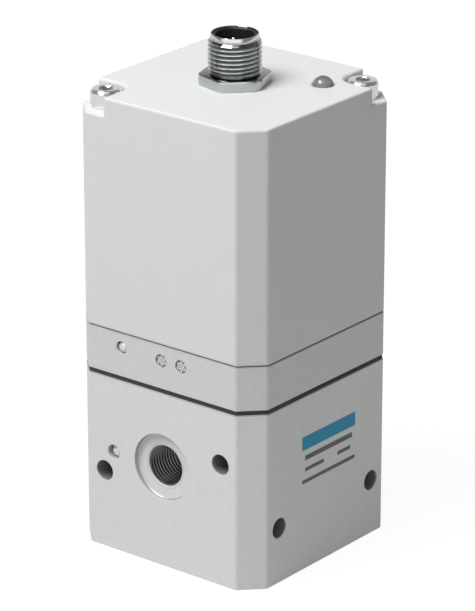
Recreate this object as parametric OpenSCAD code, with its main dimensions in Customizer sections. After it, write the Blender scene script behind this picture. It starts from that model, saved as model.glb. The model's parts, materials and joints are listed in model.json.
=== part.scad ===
// Electro-pneumatic pressure regulator: valve body, diaphragm relay, pilot plate with two
// pilot valves, and a tall cover with a round plug connector. Millimetres, +Z up, origin at
// the middle of the bottom face, supply port on -Y.

/* [Block section] */
// Width of the square section across its flat faces
block_w = 52; // [51:0.5:58]
// Leg of the chamfer on each upright corner
corner_cut = 5; // [4:0.25:5.5]
// Length by which each upright edge is softened along both of its faces
edge_soft = 0.3; // [0.15:0.05:0.5]
// Round on the outer edges of the metal blocks
metal_edge_r = 0.2; // [0.15:0.05:0.6]

/* [Layer heights] */
// Height of the valve body
body_h = 41.8; // [38:0.2:46]
// Thickness of the rubber diaphragm
diaphragm_t = 1; // [0.8:0.1:1.2]
// How far the diaphragm edge stands back from the metal faces
diaphragm_setback = 0.2; // [0.1:0.05:0.5]
// Height of the pilot plate
plate_h = 10.3; // [10.2:0.1:13]
// Thickness of the flat gasket under the cover
gasket_t = 0.2; // [0.2:0.1:0.6]
// How far the gasket edge stands back from the cover faces
gasket_setback = 0.3; // [0.1:0.05:0.6]
// Height of the cover
cover_h = 53.7; // [52:0.1:60]

/* [Cover] */
// Wall of the cover
cover_wall = 2.2; // [1.8:0.1:2.6]
// Thickness of the top of the cover
cover_top_t = 2.6; // [2.2:0.1:3.2]
// Round on the outer edges of the cover
cover_edge_r = 0.5; // [0.3:0.05:0.9]
// Depth of the two corner notches below the top
notch_depth = 4.2; // [4.2:0.1:5.4]
// Inner round of a notch, about its screw
notch_r = 4.1; // [4:0.1:5]
// Round on the rim of a notch
notch_edge_r = 0.7; // [0.4:0.1:1.2]
// Wall of the screw posts and of the notch pockets
post_wall = 1.9; // [1.6:0.1:2.4]
// Thickness of the ledge under a screw head
ledge_t = 3; // [2.5:0.1:4]

/* [Clamping screws] */
// Thread diameter of the clamping screws
screw_d = 4; // [3.6:0.1:4.2]
// Diameter of a screw head
head_d = 7; // [6.6:0.1:7.4]
// Height of a screw head
head_h = 4; // [3.6:0.1:4.2]
// Width across the flats of the hexagon socket
socket_af = 3; // [2.5:0.1:3.4]
// Depth of the hexagon socket
socket_depth = 2.2; // [1.8:0.1:2.6]
// Distance of a screw from the two nearest faces
screw_inset = 6; // [5.8:0.1:6.6]
// Thread length that sits in the valve body
screw_engagement = 9.4; // [8:0.2:9.6]
// Depth of the head pockets in the pilot plate
head_pocket = 4.8; // [4.6:0.1:5.2]

/* [Ports] */
// Thread diameter of the ports
port_d = 9.73; // [9.4:0.01:9.9]
// Depth of a port hole below its face
port_depth = 11; // [10.4:0.2:12]
// Diameter of the seat round a port
port_seat_d = 15.8; // [14:0.1:16]
// Depth of the seat round a port
port_seat_depth = 1.3; // [1:0.1:1.6]
// Countersink at the mouth of the thread
port_chamfer = 0.5; // [0.4:0.1:1]
// Height of the supply port, as a share of the body height
port_share = 0.572; // [0.56:0.002:0.58]
// How much higher the outlet port sits than the supply port
outlet_rise = 3.8; // [3.4:0.1:4.2]
// Height of the exhaust port, as a share of the body height
exhaust_share = 0.249; // [0.245:0.001:0.255]

/* [Mounting holes] */
// Diameter of the mounting holes
mount_d = 4.8; // [4.2:0.1:4.8]
// Spacing across the port face of the holes that run front to back
front_spacing = 33.4; // [33:0.1:35]
// Height step between the two holes that run front to back
front_step = 10.4; // [10:0.1:11]
// Spacing of the two holes that run side to side
side_spacing = 33.6; // [33:0.1:35]
// Height of the two holes that run side to side, as a share of the body height
side_share = 0.318; // [0.3:0.002:0.322]

/* [Plugs and breathers] */
// Diameter of the hole for the ball in the body
body_ball_d = 3.4; // [2.8:0.1:3.6]
// Distance of the body ball from the middle
body_ball_x = 14; // [13.6:0.1:14.4]
// How far the body ball sits below the face
body_ball_recess = 0.5; // [0.3:0.1:1.2]
// Diameter of the hole for the ball in the plate
plate_ball_d = 3; // [2.6:0.1:3.2]
// Distance of the plate ball from the middle
plate_ball_x = 11.4; // [11.2:0.1:11.8]
// Diameter of the breather discs
breather_d = 3.1; // [2.8:0.1:3.4]
// Thickness of a breather disc
breather_t = 2; // [1.6:0.1:2.6]
// Distance of the second breather from the middle one
breather_step = 5.6; // [5.4:0.1:6]
// Depth of the plate drillings below the top of the plate
channel_drop = 3.4; // [3.2:0.1:3.6]
// Drop of the breathers below the plate drilling
breather_drop = 0.3; // [0:0.1:0.4]
// Diameter of the air drillings
channel_d = 1.6; // [1.2:0.1:1.8]

/* [Diaphragm relay] */
// Diameter of the diaphragm chamber
chamber_d = 33; // [32.4:0.2:33.4]
// Depth of the diaphragm chamber in the body
chamber_depth = 4.2; // [4:0.1:4.6]
// Depth of the diaphragm chamber in the plate
pilot_depth = 4.4; // [4.2:0.1:4.8]
// Diameter of the pocket over the stem nut
nut_pocket_d = 10.4; // [10.2:0.1:10.8]
// Depth of the pocket over the stem nut
nut_pocket_depth = 7.2; // [6.8:0.1:7.4]
// Gap on both sides of the rolled ring in the diaphragm
roll_gap = 0.5; // [0.4:0.05:0.8]
// Diameter of the two diaphragm plates
clamp_d = 21; // [20:0.2:21.4]
// Thickness of the plate below the diaphragm
stem_plate_t = 2; // [1.6:0.1:2.2]
// Thickness of the plate above the diaphragm
washer_t = 1.6; // [1.2:0.1:1.8]
// Diameter of the stem below the diaphragm
stem_d = 6; // [5.6:0.1:6.4]
// Diameter of the stud through the diaphragm
stud_d = 5; // [4.6:0.1:5]
// Width across the flats of the stem nut
nut_af = 8; // [7.6:0.1:8]
// Height of the stem nut
nut_h = 2.7; // [2.4:0.1:2.8]
// Diameter of the relief pad
pad_d = 5.2; // [5:0.1:5.3]
// Thickness of the relief pad
pad_t = 1; // [0.8:0.1:1.4]

/* [Valve cartridge] */
// Diameter of the cartridge bore in the body
bore_d = 20; // [19.6:0.1:20.4]
// Thickness of the body under the cartridge
floor_t = 5; // [4.4:0.1:5.2]
// Depth of the air grooves round the cartridge
groove_depth = 1.25; // [1:0.05:1.4]
// Diameter of the inlet chamber in the sleeve
inlet_d = 14.4; // [14:0.1:14.8]
// Diameter of the outlet chamber in the sleeve
outlet_d = 13.2; // [12.6:0.1:13.8]
// Diameter of the valve seat opening
seat_d = 8; // [7.4:0.1:8.2]
// Width of the lip round the seat
seat_lip_w = 0.7; // [0.5:0.05:0.9]
// Outer diameter of the hollow poppet stem
tube_d = 4.4; // [4.2:0.1:4.8]
// Bore of the hollow poppet stem
tube_bore = 2.6; // [2.2:0.1:2.8]
// Diameter of the poppet disc
disc_d = 11.6; // [11.2:0.1:12]
// Thickness of the poppet disc
disc_t = 1.6; // [1.3:0.1:1.8]
// Thickness of the rubber ring on the poppet disc
poppet_seal_t = 0.8; // [0.6:0.1:1]
// Height of the poppet nozzle above the seat
nozzle_h = 3.6; // [3.2:0.1:4]
// Thickness of the stem guide
stem_guide_t = 3.6; // [3:0.1:3.8]
// Thickness of the retaining ring
ring_t = 1; // [0.8:0.1:1.2]
// Radial width of the retaining ring
ring_w = 2.1; // [1.9:0.1:2.4]
// Wire diameter of the poppet spring
spring_wire = 0.8; // [0.6:0.05:0.9]
// Middle diameter of the poppet spring
spring_d = 8.4; // [8:0.1:8.8]

/* [Pilot valves] */
// Width of a pilot valve
pilot_w = 11; // [10.4:0.1:11.4]
// Length of a pilot valve
pilot_l = 16; // [15.4:0.1:17]
// Height of the base of a pilot valve
pilot_base_h = 6; // [5.6:0.1:6.6]
// Height of the coil of a pilot valve
pilot_coil_h = 18; // [17:0.2:20]
// Distance of the fill valve from the middle, towards -X
fill_x = 8.5; // [8.3:0.1:8.7]
// Distance of the vent valve from the middle, towards +X
vent_x = 6; // [5.8:0.1:6.2]
// Diameter of a plunger
plunger_d = 4.4; // [4:0.1:4.6]
// Length of a plunger
plunger_l = 9.8; // [9:0.1:10.4]
// Air gap over a plunger
plunger_gap = 1; // [0.8:0.1:1.2]
// Wire diameter of a plunger spring
plunger_wire = 0.4; // [0.3:0.05:0.45]
// Thread diameter of the pilot valve screws
pilot_screw_d = 2; // [1.8:0.1:2.2]

/* [Connector] */
// Thread diameter of the plug connector
plug_d = 12; // [11.6:0.1:12.4]
// Height of the connector rim above the cover
plug_h = 11.5; // [10.8:0.1:12.4]
// Height at which the thread ends below the rim
plug_rim_h = 1.4; // [1:0.1:1.6]
// Diameter of the smooth rim
plug_rim_d = 10.7; // [10.4:0.1:10.9]
// Bore of the connector socket
plug_bore = 9.3; // [9:0.1:9.5]
// Width across the flats of the hexagon
hex_af = 14.6; // [14.4:0.1:17]
// Diameter at which the hexagon corners are turned off
hex_corner_d = 16.1; // [15.8:0.1:17.6]
// Thickness of the hexagon
hex_t = 2.4; // [1.8:0.1:2.6]
// Width of the relief groove between hexagon and thread
relief_w = 0.7; // [0.5:0.1:1]
// Diameter of the relief groove
relief_d = 10.6; // [10.4:0.1:11]
// Height of the contact carrier above the cover
carrier_z = 3; // [2.4:0.1:3.6]
// Diameter of a contact pin
pin_d = 1; // [0.8:0.1:1.1]
// Diameter of the circle of pins
pin_circle = 5.5; // [5.3:0.1:5.7]
// Number of contact pins
pin_count = 4; // [3:1:5]
// How far the pins end below the rim
pin_drop = 2; // [1.4:0.1:3]
// Height of the locknut inside the cover
locknut_h = 2.5; // [2:0.1:3]

/* [Status lamp and board] */
// Diameter of the lamp
led_d = 5; // [4.6:0.1:5.2]
// Height of the lamp dome above the cover
led_h = 2; // [1.6:0.1:2.3]
// Distance of the lamp from the +X face
led_inset_x = 10.1; // [9.6:0.1:10.6]
// Distance of the lamp from the +Y face
led_inset_y = 15; // [14.6:0.1:16]
// Thickness of the circuit board
board_t = 1.6; // [1.2:0.1:2]
// Distance of the board below the inside of the cover top
board_drop = 11; // [10:0.2:12]
// Thread diameter of the board screws
board_screw_d = 2.5; // [2.2:0.1:2.8]
// Diameter of the pressure sensor can
sensor_d = 7.2; // [6.8:0.1:7.6]
// Width across the flats of the sensor hexagon
sensor_af = 8; // [7.8:0.1:8.6]
// Diameter of the threaded stub of the sensor
stub_d = 4.3; // [4:0.1:4.6]
// Length of the threaded stub of the sensor
stub_l = 4.6; // [4:0.1:4.8]
// Height of the pressure sensor can
sensor_h = 5; // [4:0.1:6]

/* [Fits] */
// Radial gap of sliding and turned fits
run_gap = 0.05; // [0.03:0.01:0.08]
// Radial gap round screws and pins in clearance holes
hole_gap = 0.25; // [0.2:0.05:0.35]

/* [Hidden] */
$fn = 64;
over = 1;
// Narrow flats that make up one edge round
edge_flats = 3;

// Levels of the stack
half = block_w / 2;
screw_p = half - screw_inset;
z_plate = body_h + diaphragm_t;
z_plate_top = z_plate + plate_h;
z_cover = z_plate_top + gasket_t;
z_top = z_cover + cover_h;
z_ledge = z_top - notch_depth;
z_ceiling = z_top - cover_top_t;
z_screw_tip = body_h - screw_engagement;
z_head_pocket = z_plate_top - head_pocket;
z_channel = z_plate_top - channel_drop;
z_breather = z_channel - breather_drop;
tip_gap = 0.4;

// Levels of the valve cartridge
port_z = port_share * body_h;
outlet_z = port_z + outlet_rise;
exhaust_z = exhaust_share * body_h;
side_z = side_share * body_h;
bore_r = bore_d / 2;
insert_r = bore_r - run_gap;
groove_r = insert_r - groove_depth;
z_chamber = body_h - chamber_depth;
ring_land = 0.8;
ring_gap = 0.1;
z_ring = z_chamber - ring_land - ring_t;
z_stem_guide = z_ring - stem_guide_t;
guide_share = 0.38;
z_guide_top = guide_share * body_h;
groove_share = 0.12;
groove_w = groove_share * body_h;
groove_land = 1.3;
o_ring_w = 1.7;
seat_lip_h = 0.6;
seat_t = 1.5;
z_seat_floor = port_z + seat_lip_h + seat_t;
cross_hole_d = 3.2;
cross_holes = 6;
z_disc = port_z - poppet_seal_t - disc_t;
z_nozzle = port_z + nozzle_h;
exhaust_land = 1.5;
z_exhaust_groove = floor_t + exhaust_land;
exhaust_room_h = 4.5;
exhaust_room_d = 10.4;
exhaust_hole_d = 2.6;
tube_clearance = 3;
disc_rim = 0.3;
z_inlet_holes = port_z - groove_land - groove_w / 2;
z_outlet_holes = z_seat_floor + cross_hole_d / 2 + disc_rim;

// Seals of round section
o_ring_r = groove_depth / 2;
tube_ring_r = 0.6;
tube_ring_drop = 3.6;
z_tube_ring = z_guide_top - tube_ring_drop;
spring_turns = 4;
guide_land = 0.8;
z_guide_ring = z_guide_top - guide_land - o_ring_w;
exhaust_gap = 0.6;
z_exhaust_top = z_guide_ring - exhaust_gap;

// Rolled ring of the diaphragm, between the clamped middle and the chamber wall
roll_d = (chamber_d + clamp_d) / 2;
roll_r = (chamber_d - clamp_d) / 4 - diaphragm_t - roll_gap;

// Pilot air route
pilot_x = -(body_ball_x + plate_ball_x) / 2;
pilot_inset = 4.9;
pilot_y = pilot_inset - half;
plug_seat_depth = 5.6;
sense_x = -2;
sense_gap = 1.1;
sense_y = chamber_d / 2 + sense_gap;

// Pilot valves
pilot_port_x = 2.9;
pilot_port_y = 4.5;
pilot_screw_x = 3.6;
pilot_screw_y = 6.3;
pilot_screw_grip = 4;
pilot_head_d = 3.8;
pilot_head_h = 2;
z_pilot_coil = z_plate_top + pilot_base_h;
z_pilot_top = z_pilot_coil + pilot_coil_h;
nozzle_rise = 3;
z_plunger = z_plate_top + nozzle_rise;
z_core = z_plunger + plunger_l + plunger_gap;
core_pocket = 4;
plunger_spring_d = 2;
spring_room = 0.4;
duct_land = 0.6;
duct_seal_r = channel_d / 2 + duct_land;
plunger_turns = 5;

// Connector and lamp
hex_turn = -13;
pin_turn = 45;
tail_end = 1;
tail_h = cover_top_t + locknut_h + tail_end;
carrier_flange_t = 2;
carrier_tail_d = 8;
seal_wire = 0.8;
seal_d = plug_d + seal_wire + 4 * run_gap;
locknut_af = 15;
led_x = half - led_inset_x;
led_y = half - led_inset_y;
led_flange_d = 5.8;
led_flange_t = 1;
led_lead_d = 0.5;
led_lead_gap = 2.54;
z_board_top = z_ceiling - board_drop;
z_board = z_board_top - board_t;
lead_end = 1.2;
boss_step = 3.5;
boss_p = screw_p - boss_step;
boss_d = 6;
board_margin = 1.5;
board_head_d = 4.5;
board_head_h = 1.8;
board_screw_l = 7;
small_socket_af = 1.5;
small_socket_depth = 1;
stub_land = 0.9;
stub_seal_r = stub_d / 2 + stub_land;

// Octagon outline of the block, with its eight corners softened
module octagon(w, cut) {
    h = w / 2;
    corners = [
        [-h, cut - h], [cut - h, -h], [h - cut, -h], [h, cut - h],
        [h, h - cut], [h - cut, h], [cut - h, h], [-h, h - cut]
    ];
    n = len(corners);
    polygon([
        for (i = [0:n - 1], other = [corners[(i + n - 1) % n], corners[(i + 1) % n]])
            let (way = other - corners[i]) corners[i] + edge_soft * way / norm(way)
    ]);
}

module inset_octagon(inset) {
    octagon(block_w - 2 * inset, corner_cut - (2 - sqrt(2)) * inset);
}

// What a round takes off a corner at the origin whose material lies towards -X and -Y
module corner_waste(size) {
    step = 90 / edge_flats;
    round = [for (i = [0:edge_flats]) size * [cos(step * i) - 1, sin(step * i) - 1]];
    polygon(concat(round, [[-size, over], [over, over], [over, -size]]));
}

// Upright outline with round corners at the bottom and the top
module upright(w, h, bottom_r, top_r) {
    difference() {
        translate([-w / 2, 0]) square([w, h]);
        for (side = [0, 1]) mirror([side, 0]) {
            translate([w / 2, h]) corner_waste(top_r);
            translate([w / 2, 0]) mirror([0, 1]) corner_waste(bottom_r);
        }
    }
}

// Block with chamfered upright corners and round edges all along its bottom and top
module block(h, bottom_r, top_r) {
    across = sqrt(2) * (block_w - corner_cut);
    intersection() {
        linear_extrude(h) octagon(block_w, corner_cut);
        intersection_for (turn = [0, 45, 90, 135])
            rotate([0, 0, turn]) translate([0, block_w, 0]) rotate([90, 0, 0])
                linear_extrude(2 * block_w)
                    upright(turn % 90 == 0 ? block_w : across, h, bottom_r, top_r);
    }
}

// Ring of rectangular section
module tube(outer_r, inner_r, z, h) {
    translate([0, 0, z]) rotate_extrude()
        translate([inner_r, 0]) square([outer_r - inner_r, h]);
}

module o_ring(middle_r, wire_r, z) {
    translate([0, 0, z]) rotate_extrude() translate([middle_r, 0]) circle(wire_r);
}

module drill(d, z_low, z_high) {
    translate([0, 0, z_low]) cylinder(d = d, h = z_high - z_low);
}

// Drilling from the front face towards +Y
module front_drill(x, z, d, depth) {
    translate([x, -half - over, z]) rotate([-90, 0, 0]) cylinder(d = d, h = depth + over);
}

// The four corners that take clamping screws, long ones on one diagonal
module at_long_screws() {
    for (s = [-1, 1]) translate([s * screw_p, s * screw_p, 0]) children();
}

module at_short_screws() {
    for (s = [-1, 1]) translate([s * screw_p, -s * screw_p, 0]) children();
}

module at_all_screws() {
    at_long_screws() children();
    at_short_screws() children();
}

module hex_prism(af, h) {
    cylinder(d = af / cos(30), h = h, $fn = 6);
}

// Screw with its head seat at height 0 and its shank below
module cap_screw(d, length, head, height, af, depth) {
    bevel = head / 20;
    point = d / 10;
    difference() {
        rotate_extrude() polygon([
            [0, -length], [d / 2 - point, -length], [d / 2, point - length], [d / 2, 0],
            [head / 2, 0], [head / 2, height - bevel], [head / 2 - bevel, height], [0, height]
        ]);
        translate([0, 0, height - depth]) hex_prism(af, depth + over);
    }
}

// Helical wire between two seats
function wire_point(r, wire_r, a, b, z) = [
    (r + wire_r * cos(b)) * cos(a), (r + wire_r * cos(b)) * sin(a), z + wire_r * sin(b)
];

module coil_spring(r, wire_r, turns, z_low, z_high) {
    sides = 8;
    steps_a_turn = 18;
    steps = steps_a_turn * turns;
    rise = (z_high - z_low - 2 * wire_r) / steps;
    points = [
        for (i = [0:steps], j = [0:sides - 1])
            wire_point(r, wire_r, 360 * i / steps_a_turn, 360 * j / sides,
                z_low + wire_r + rise * i)
    ];
    walls = [
        for (i = [0:steps - 1], j = [0:sides - 1])
            let (a = i * sides + j, b = i * sides + (j + 1) % sides) [a, b, b + sides, a + sides]
    ];
    caps = [[for (j = [sides - 1:-1:0]) j], [for (j = [0:sides - 1]) steps * sides + j]];
    polyhedron(points, concat(walls, caps));
}

// Threaded port with its sealing seat, cut down from a face at height 0
module port_cut() {
    corner_r = 0.5;
    seat_r = port_seat_d / 2;
    rotate_extrude() {
        translate([0, -port_seat_depth]) square([seat_r - corner_r, port_seat_depth + over]);
        translate([0, corner_r - port_seat_depth])
            square([seat_r, port_seat_depth - corner_r + over]);
        translate([seat_r - corner_r, corner_r - port_seat_depth]) circle(corner_r);
    }
    translate([0, 0, -port_seat_depth - port_chamfer])
        cylinder(d1 = port_d, d2 = port_d + 2 * port_chamfer, h = port_chamfer);
    drill(port_d, -port_depth, 0);
}

module valve_body() {
    link_d = 3.4;
    link_z = 3.1;
    feed_l = body_ball_x - port_d / 4;
    color([0.80, 0.81, 0.80]) difference() {
        block(body_h, metal_edge_r, metal_edge_r);
        translate([0, -half, port_z]) rotate([90, 0, 0]) port_cut();
        translate([0, half, outlet_z]) rotate([-90, 0, 0]) port_cut();
        translate([-half, 0, exhaust_z]) rotate([0, -90, 0]) port_cut();
        // Links from the ports to the cartridge bore
        translate([0, -half + port_depth / 2, port_z - link_z]) rotate([-90, 0, 0])
            cylinder(d = link_d, h = half - port_depth / 2);
        translate([0, half - port_depth / 2, outlet_z]) rotate([90, 0, 0])
            cylinder(d = link_d, h = half - port_depth / 2);
        translate([-half + port_depth / 2, 0, exhaust_z]) rotate([0, 90, 0])
            cylinder(d = link_d, h = half - port_depth / 2);
        // Mounting holes, front to back on a diagonal and side to side
        for (s = [-1, 1]) {
            translate([s * front_spacing / 2, 0, port_z + s * front_step / 2])
                rotate([90, 0, 0]) cylinder(d = mount_d, h = block_w + 2 * over, center = true);
            translate([0, s * side_spacing / 2, side_z])
                rotate([0, 90, 0]) cylinder(d = mount_d, h = block_w + 2 * over, center = true);
        }
        // Cartridge bore with the groove of its ring, and the diaphragm chamber
        drill(bore_d, floor_t, body_h);
        translate([0, 0, z_ring])
            cylinder(r = bore_r + ring_land, h = ring_t + ring_gap);
        drill(chamber_d, z_chamber, body_h + over);
        // Screw holes
        at_all_screws() drill(screw_d + 2 * run_gap, z_screw_tip - tip_gap, body_h + over);
        // Pilot air from the supply port, closed at the face by a ball
        front_drill(-body_ball_x, port_z, body_ball_d, plug_seat_depth);
        translate([-body_ball_x, -half + plug_seat_depth - channel_d / 2, port_z])
            rotate([0, 90, atan2(port_depth - plug_seat_depth, feed_l)])
                cylinder(d = channel_d, h = feed_l);
        translate([pilot_x, pilot_y, 0]) drill(channel_d, port_z, body_h + over);
        // Outlet pressure up to the sensor
        translate([sense_x, sense_y, 0]) drill(channel_d, outlet_z, body_h + over);
    }
}

module body_ball_plug() {
    r = body_ball_d / 2 - run_gap;
    color([0.85, 0.85, 0.86]) translate([-body_ball_x, -half + body_ball_recess + r, port_z])
        sphere(r);
}

// Cross holes through a turned wall, evenly spaced at one height
module cross_drill(d, inner_r, z) {
    for (i = [0:cross_holes - 1]) rotate([0, 90, 360 * i / cross_holes])
        translate([-z, 0, inner_r - over]) cylinder(d = d, h = bore_r - inner_r + over);
}

// Lower guide of the poppet, with the exhaust room under it
module poppet_guide() {
    hole_r = tube_d / 2 + run_gap;
    room_r = exhaust_room_d / 2;
    z_room = floor_t + exhaust_room_h;
    ring_r = hole_r + 2 * tube_ring_r;
    z_ring_low = z_tube_ring - tube_ring_r;
    z_ring_high = z_tube_ring + tube_ring_r;
    color([0.78, 0.66, 0.36]) difference() {
        rotate_extrude() polygon([
            [room_r, floor_t], [insert_r, floor_t],
            [insert_r, z_exhaust_groove], [groove_r, z_exhaust_groove],
            [groove_r, z_exhaust_top], [insert_r, z_exhaust_top],
            [insert_r, z_guide_ring], [groove_r, z_guide_ring],
            [groove_r, z_guide_ring + o_ring_w], [insert_r, z_guide_ring + o_ring_w],
            [insert_r, z_guide_top], [hole_r, z_guide_top],
            [hole_r, z_ring_high], [ring_r, z_ring_high],
            [ring_r, z_ring_low], [hole_r, z_ring_low],
            [hole_r, z_room], [room_r, z_room]
        ]);
        cross_drill(exhaust_hole_d, room_r, floor_t + tube_clearance);
    }
}

module poppet_o_ring() {
    color([0.12, 0.12, 0.12])
        o_ring(tube_d / 2 + run_gap + tube_ring_r, tube_ring_r - run_gap / 2, z_tube_ring);
}

module poppet_spring() {
    color([0.75, 0.76, 0.78])
        coil_spring(spring_d / 2, spring_wire / 2, spring_turns, z_guide_top, z_disc);
}

// Hollow stem with the valve disc
module poppet() {
    color([0.80, 0.68, 0.38]) rotate_extrude() {
        translate([tube_bore / 2, floor_t + tube_clearance])
            square([(tube_d - tube_bore) / 2, z_nozzle - floor_t - tube_clearance]);
        translate([tube_bore / 2, z_disc]) square([(disc_d - tube_bore) / 2, disc_t]);
    }
}

module poppet_seal() {
    color([0.14, 0.14, 0.14])
        tube(disc_d / 2 - disc_rim, tube_d / 2 + run_gap, z_disc + disc_t, poppet_seal_t);
}

// Cartridge sleeve with the inlet seat, air grooves and cross holes
module valve_sleeve() {
    inlet_r = inlet_d / 2;
    outlet_r = outlet_d / 2;
    seat_r = seat_d / 2;
    lip_r = seat_r + seat_lip_w;
    z_lip = port_z + seat_lip_h;
    z_inlet = port_z - groove_land - groove_w;
    z_outlet = port_z + groove_land;
    z_ring_low = port_z - o_ring_w / 2;
    color([0.72, 0.73, 0.75]) difference() {
        rotate_extrude() polygon([
            [inlet_r, z_guide_top], [insert_r, z_guide_top],
            [insert_r, z_inlet], [groove_r, z_inlet],
            [groove_r, z_inlet + groove_w], [insert_r, z_inlet + groove_w],
            [insert_r, z_ring_low], [groove_r, z_ring_low],
            [groove_r, z_ring_low + o_ring_w], [insert_r, z_ring_low + o_ring_w],
            [insert_r, z_outlet], [groove_r, z_outlet],
            [groove_r, z_outlet + groove_w], [insert_r, z_outlet + groove_w],
            [insert_r, z_stem_guide], [outlet_r, z_stem_guide],
            [outlet_r, z_seat_floor], [seat_r, z_seat_floor],
            [seat_r, port_z], [lip_r, port_z], [lip_r, z_lip], [inlet_r, z_lip]
        ]);
        cross_drill(cross_hole_d, inlet_r, z_inlet_holes);
        cross_drill(cross_hole_d, outlet_r, z_outlet_holes);
    }
}

module sleeve_o_rings() {
    middle_r = insert_r - groove_depth / 2 + run_gap / 2;
    color([0.12, 0.12, 0.12]) {
        o_ring(middle_r, o_ring_r, port_z);
        o_ring(middle_r, o_ring_r, z_guide_ring + o_ring_w / 2);
    }
}

module stem_guide() {
    color([0.78, 0.66, 0.36]) difference() {
        drill(2 * insert_r, z_stem_guide, z_ring);
        drill(stem_d + 2 * run_gap, z_stem_guide - over, z_ring + over);
        // Feedback hole from the outlet to the diaphragm chamber
        translate([(stem_d + outlet_d) / 4, 0, 0])
            drill(channel_d, z_stem_guide - over, z_ring + over);
    }
}

// Spring ring with its gap and the two eyes for a pair of pliers
module retaining_ring() {
    outer_r = bore_r + ring_land - run_gap;
    gap = 5;
    eye_d = 3.4;
    eye_hole = 1.2;
    eye_turn = asin((gap + eye_d) / 2 / (outer_r - ring_w));
    color([0.45, 0.46, 0.48]) translate([0, 0, z_ring]) linear_extrude(ring_t) difference() {
        circle(outer_r);
        difference() {
            circle(outer_r - ring_w);
            for (s = [-1, 1]) rotate(s * eye_turn) translate([outer_r - ring_w, 0]) circle(d = eye_d);
        }
        translate([0, -gap / 2]) square([bore_d, gap]);
        for (s = [-1, 1]) rotate(s * eye_turn) translate([outer_r - ring_w, 0]) circle(d = eye_hole);
    }
}

// Lower diaphragm plate with its stem and stud in one piece
module diaphragm_stem() {
    stand = 0.4;
    stud_end = 0.6;
    stud_top = z_plate + washer_t + nut_h + stud_end;
    color([0.74, 0.75, 0.77]) difference() {
        rotate_extrude() polygon([
            [0, z_nozzle + stand], [stem_d / 2, z_nozzle + stand],
            [stem_d / 2, body_h - stem_plate_t], [clamp_d / 2, body_h - stem_plate_t],
            [clamp_d / 2, body_h], [stud_d / 2, body_h], [stud_d / 2, stud_top], [0, stud_top]
        ]);
        drill(pad_d + 2 * run_gap, z_nozzle, z_nozzle + pad_t);
    }
}

module relief_pad() {
    color([0.14, 0.14, 0.14]) drill(pad_d, z_nozzle, z_nozzle + pad_t);
}

// Rubber sheet as wide as the block, with one rolled ring
module diaphragm() {
    color([0.17, 0.18, 0.18]) difference() {
        union() {
            translate([0, 0, body_h]) linear_extrude(diaphragm_t) inset_octagon(diaphragm_setback);
            translate([0, 0, body_h]) rotate_extrude() translate([roll_d / 2, 0])
                intersection() {
                    circle(roll_r + diaphragm_t);
                    translate([-roll_d / 2, 0]) square([roll_d, roll_r + diaphragm_t]);
                }
        }
        translate([0, 0, body_h]) rotate_extrude() translate([roll_d / 2, 0]) circle(roll_r);
        drill(stud_d + 4 * run_gap, body_h - over, z_plate + over);
        at_all_screws() drill(screw_d + 2 * hole_gap, body_h - over, z_plate + over);
        translate([pilot_x, pilot_y, 0]) drill(channel_d, body_h - over, z_plate + over);
        translate([sense_x, sense_y, 0]) drill(channel_d, body_h - over, z_plate + over);
    }
}

module diaphragm_washer() {
    color([0.74, 0.75, 0.77]) tube(clamp_d / 2, stud_d / 2 + run_gap, z_plate, washer_t);
}

module diaphragm_nut() {
    color([0.66, 0.67, 0.69]) translate([0, 0, z_plate + washer_t]) difference() {
        hex_prism(nut_af, nut_h);
        drill(stud_d + 2 * run_gap, -over, nut_h + over);
    }
}

module pilot_plate() {
    color([0.77, 0.78, 0.77]) difference() {
        translate([0, 0, z_plate]) block(plate_h, metal_edge_r, metal_edge_r);
        drill(chamber_d, z_plate - over, z_plate + pilot_depth);
        drill(nut_pocket_d, z_plate - over, z_plate + nut_pocket_depth);
        at_all_screws() drill(screw_d + 2 * hole_gap, z_plate - over, z_plate_top + over);
        at_short_screws() drill(head_d + 2 * hole_gap, z_head_pocket, z_plate_top + over);
        // Supply air to the fill valve, closed at the face by a ball
        front_drill(-plate_ball_x, z_channel, plate_ball_d, plate_ball_d + over);
        front_drill(-plate_ball_x, z_channel, channel_d, half - pilot_port_y + channel_d / 2);
        translate([pilot_x, pilot_y, 0]) drill(channel_d, z_plate - over, z_channel);
        supply_and_vent_ports() drill(channel_d, z_channel, z_plate_top + over);
        chamber_ports() drill(channel_d, z_plate, z_plate_top + over);
        // Breathers of the vent valve and of the room under the cover
        for (x = [0, breather_step]) front_drill(x, z_breather, breather_d, breather_t);
        front_drill(0, z_breather, channel_d, plug_seat_depth);
        translate([0, -half + plug_seat_depth - channel_d / 2, 0])
            drill(channel_d, z_breather, z_plate_top + over);
        front_drill(breather_step, z_breather, channel_d, half - pilot_port_y);
        // Seat of the sensor, and the drilling that brings outlet pressure to it
        translate([sense_x, sense_y, 0]) {
            drill(stub_d + 2 * run_gap, z_plate_top - stub_l - tip_gap, z_plate_top + over);
            drill(channel_d, z_plate - over, z_plate_top);
        }
        pilot_screws() drill(pilot_screw_d + 2 * run_gap,
            z_plate_top - pilot_screw_grip - tip_gap, z_plate_top + over);
    }
}

module plate_ball_plug() {
    r = plate_ball_d / 2 - run_gap;
    color([0.85, 0.85, 0.86]) translate([-plate_ball_x, -half + r, z_channel]) sphere(r);
}

module breather_discs() {
    sink = 0.1;
    color([0.66, 0.66, 0.64]) for (x = [0, breather_step])
        translate([x, -half + sink, z_breather]) rotate([-90, 0, 0])
            cylinder(d = breather_d - 2 * run_gap, h = breather_t - sink);
}

module short_screws() {
    color([0.70, 0.71, 0.73]) at_short_screws() translate([0, 0, z_head_pocket])
        cap_screw(screw_d, z_head_pocket - z_screw_tip, head_d, head_h, socket_af, socket_depth);
}

module long_screws() {
    color([0.70, 0.71, 0.73]) at_long_screws() translate([0, 0, z_ledge])
        cap_screw(screw_d, z_ledge - z_screw_tip, head_d, head_h, socket_af, socket_depth);
}

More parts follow.
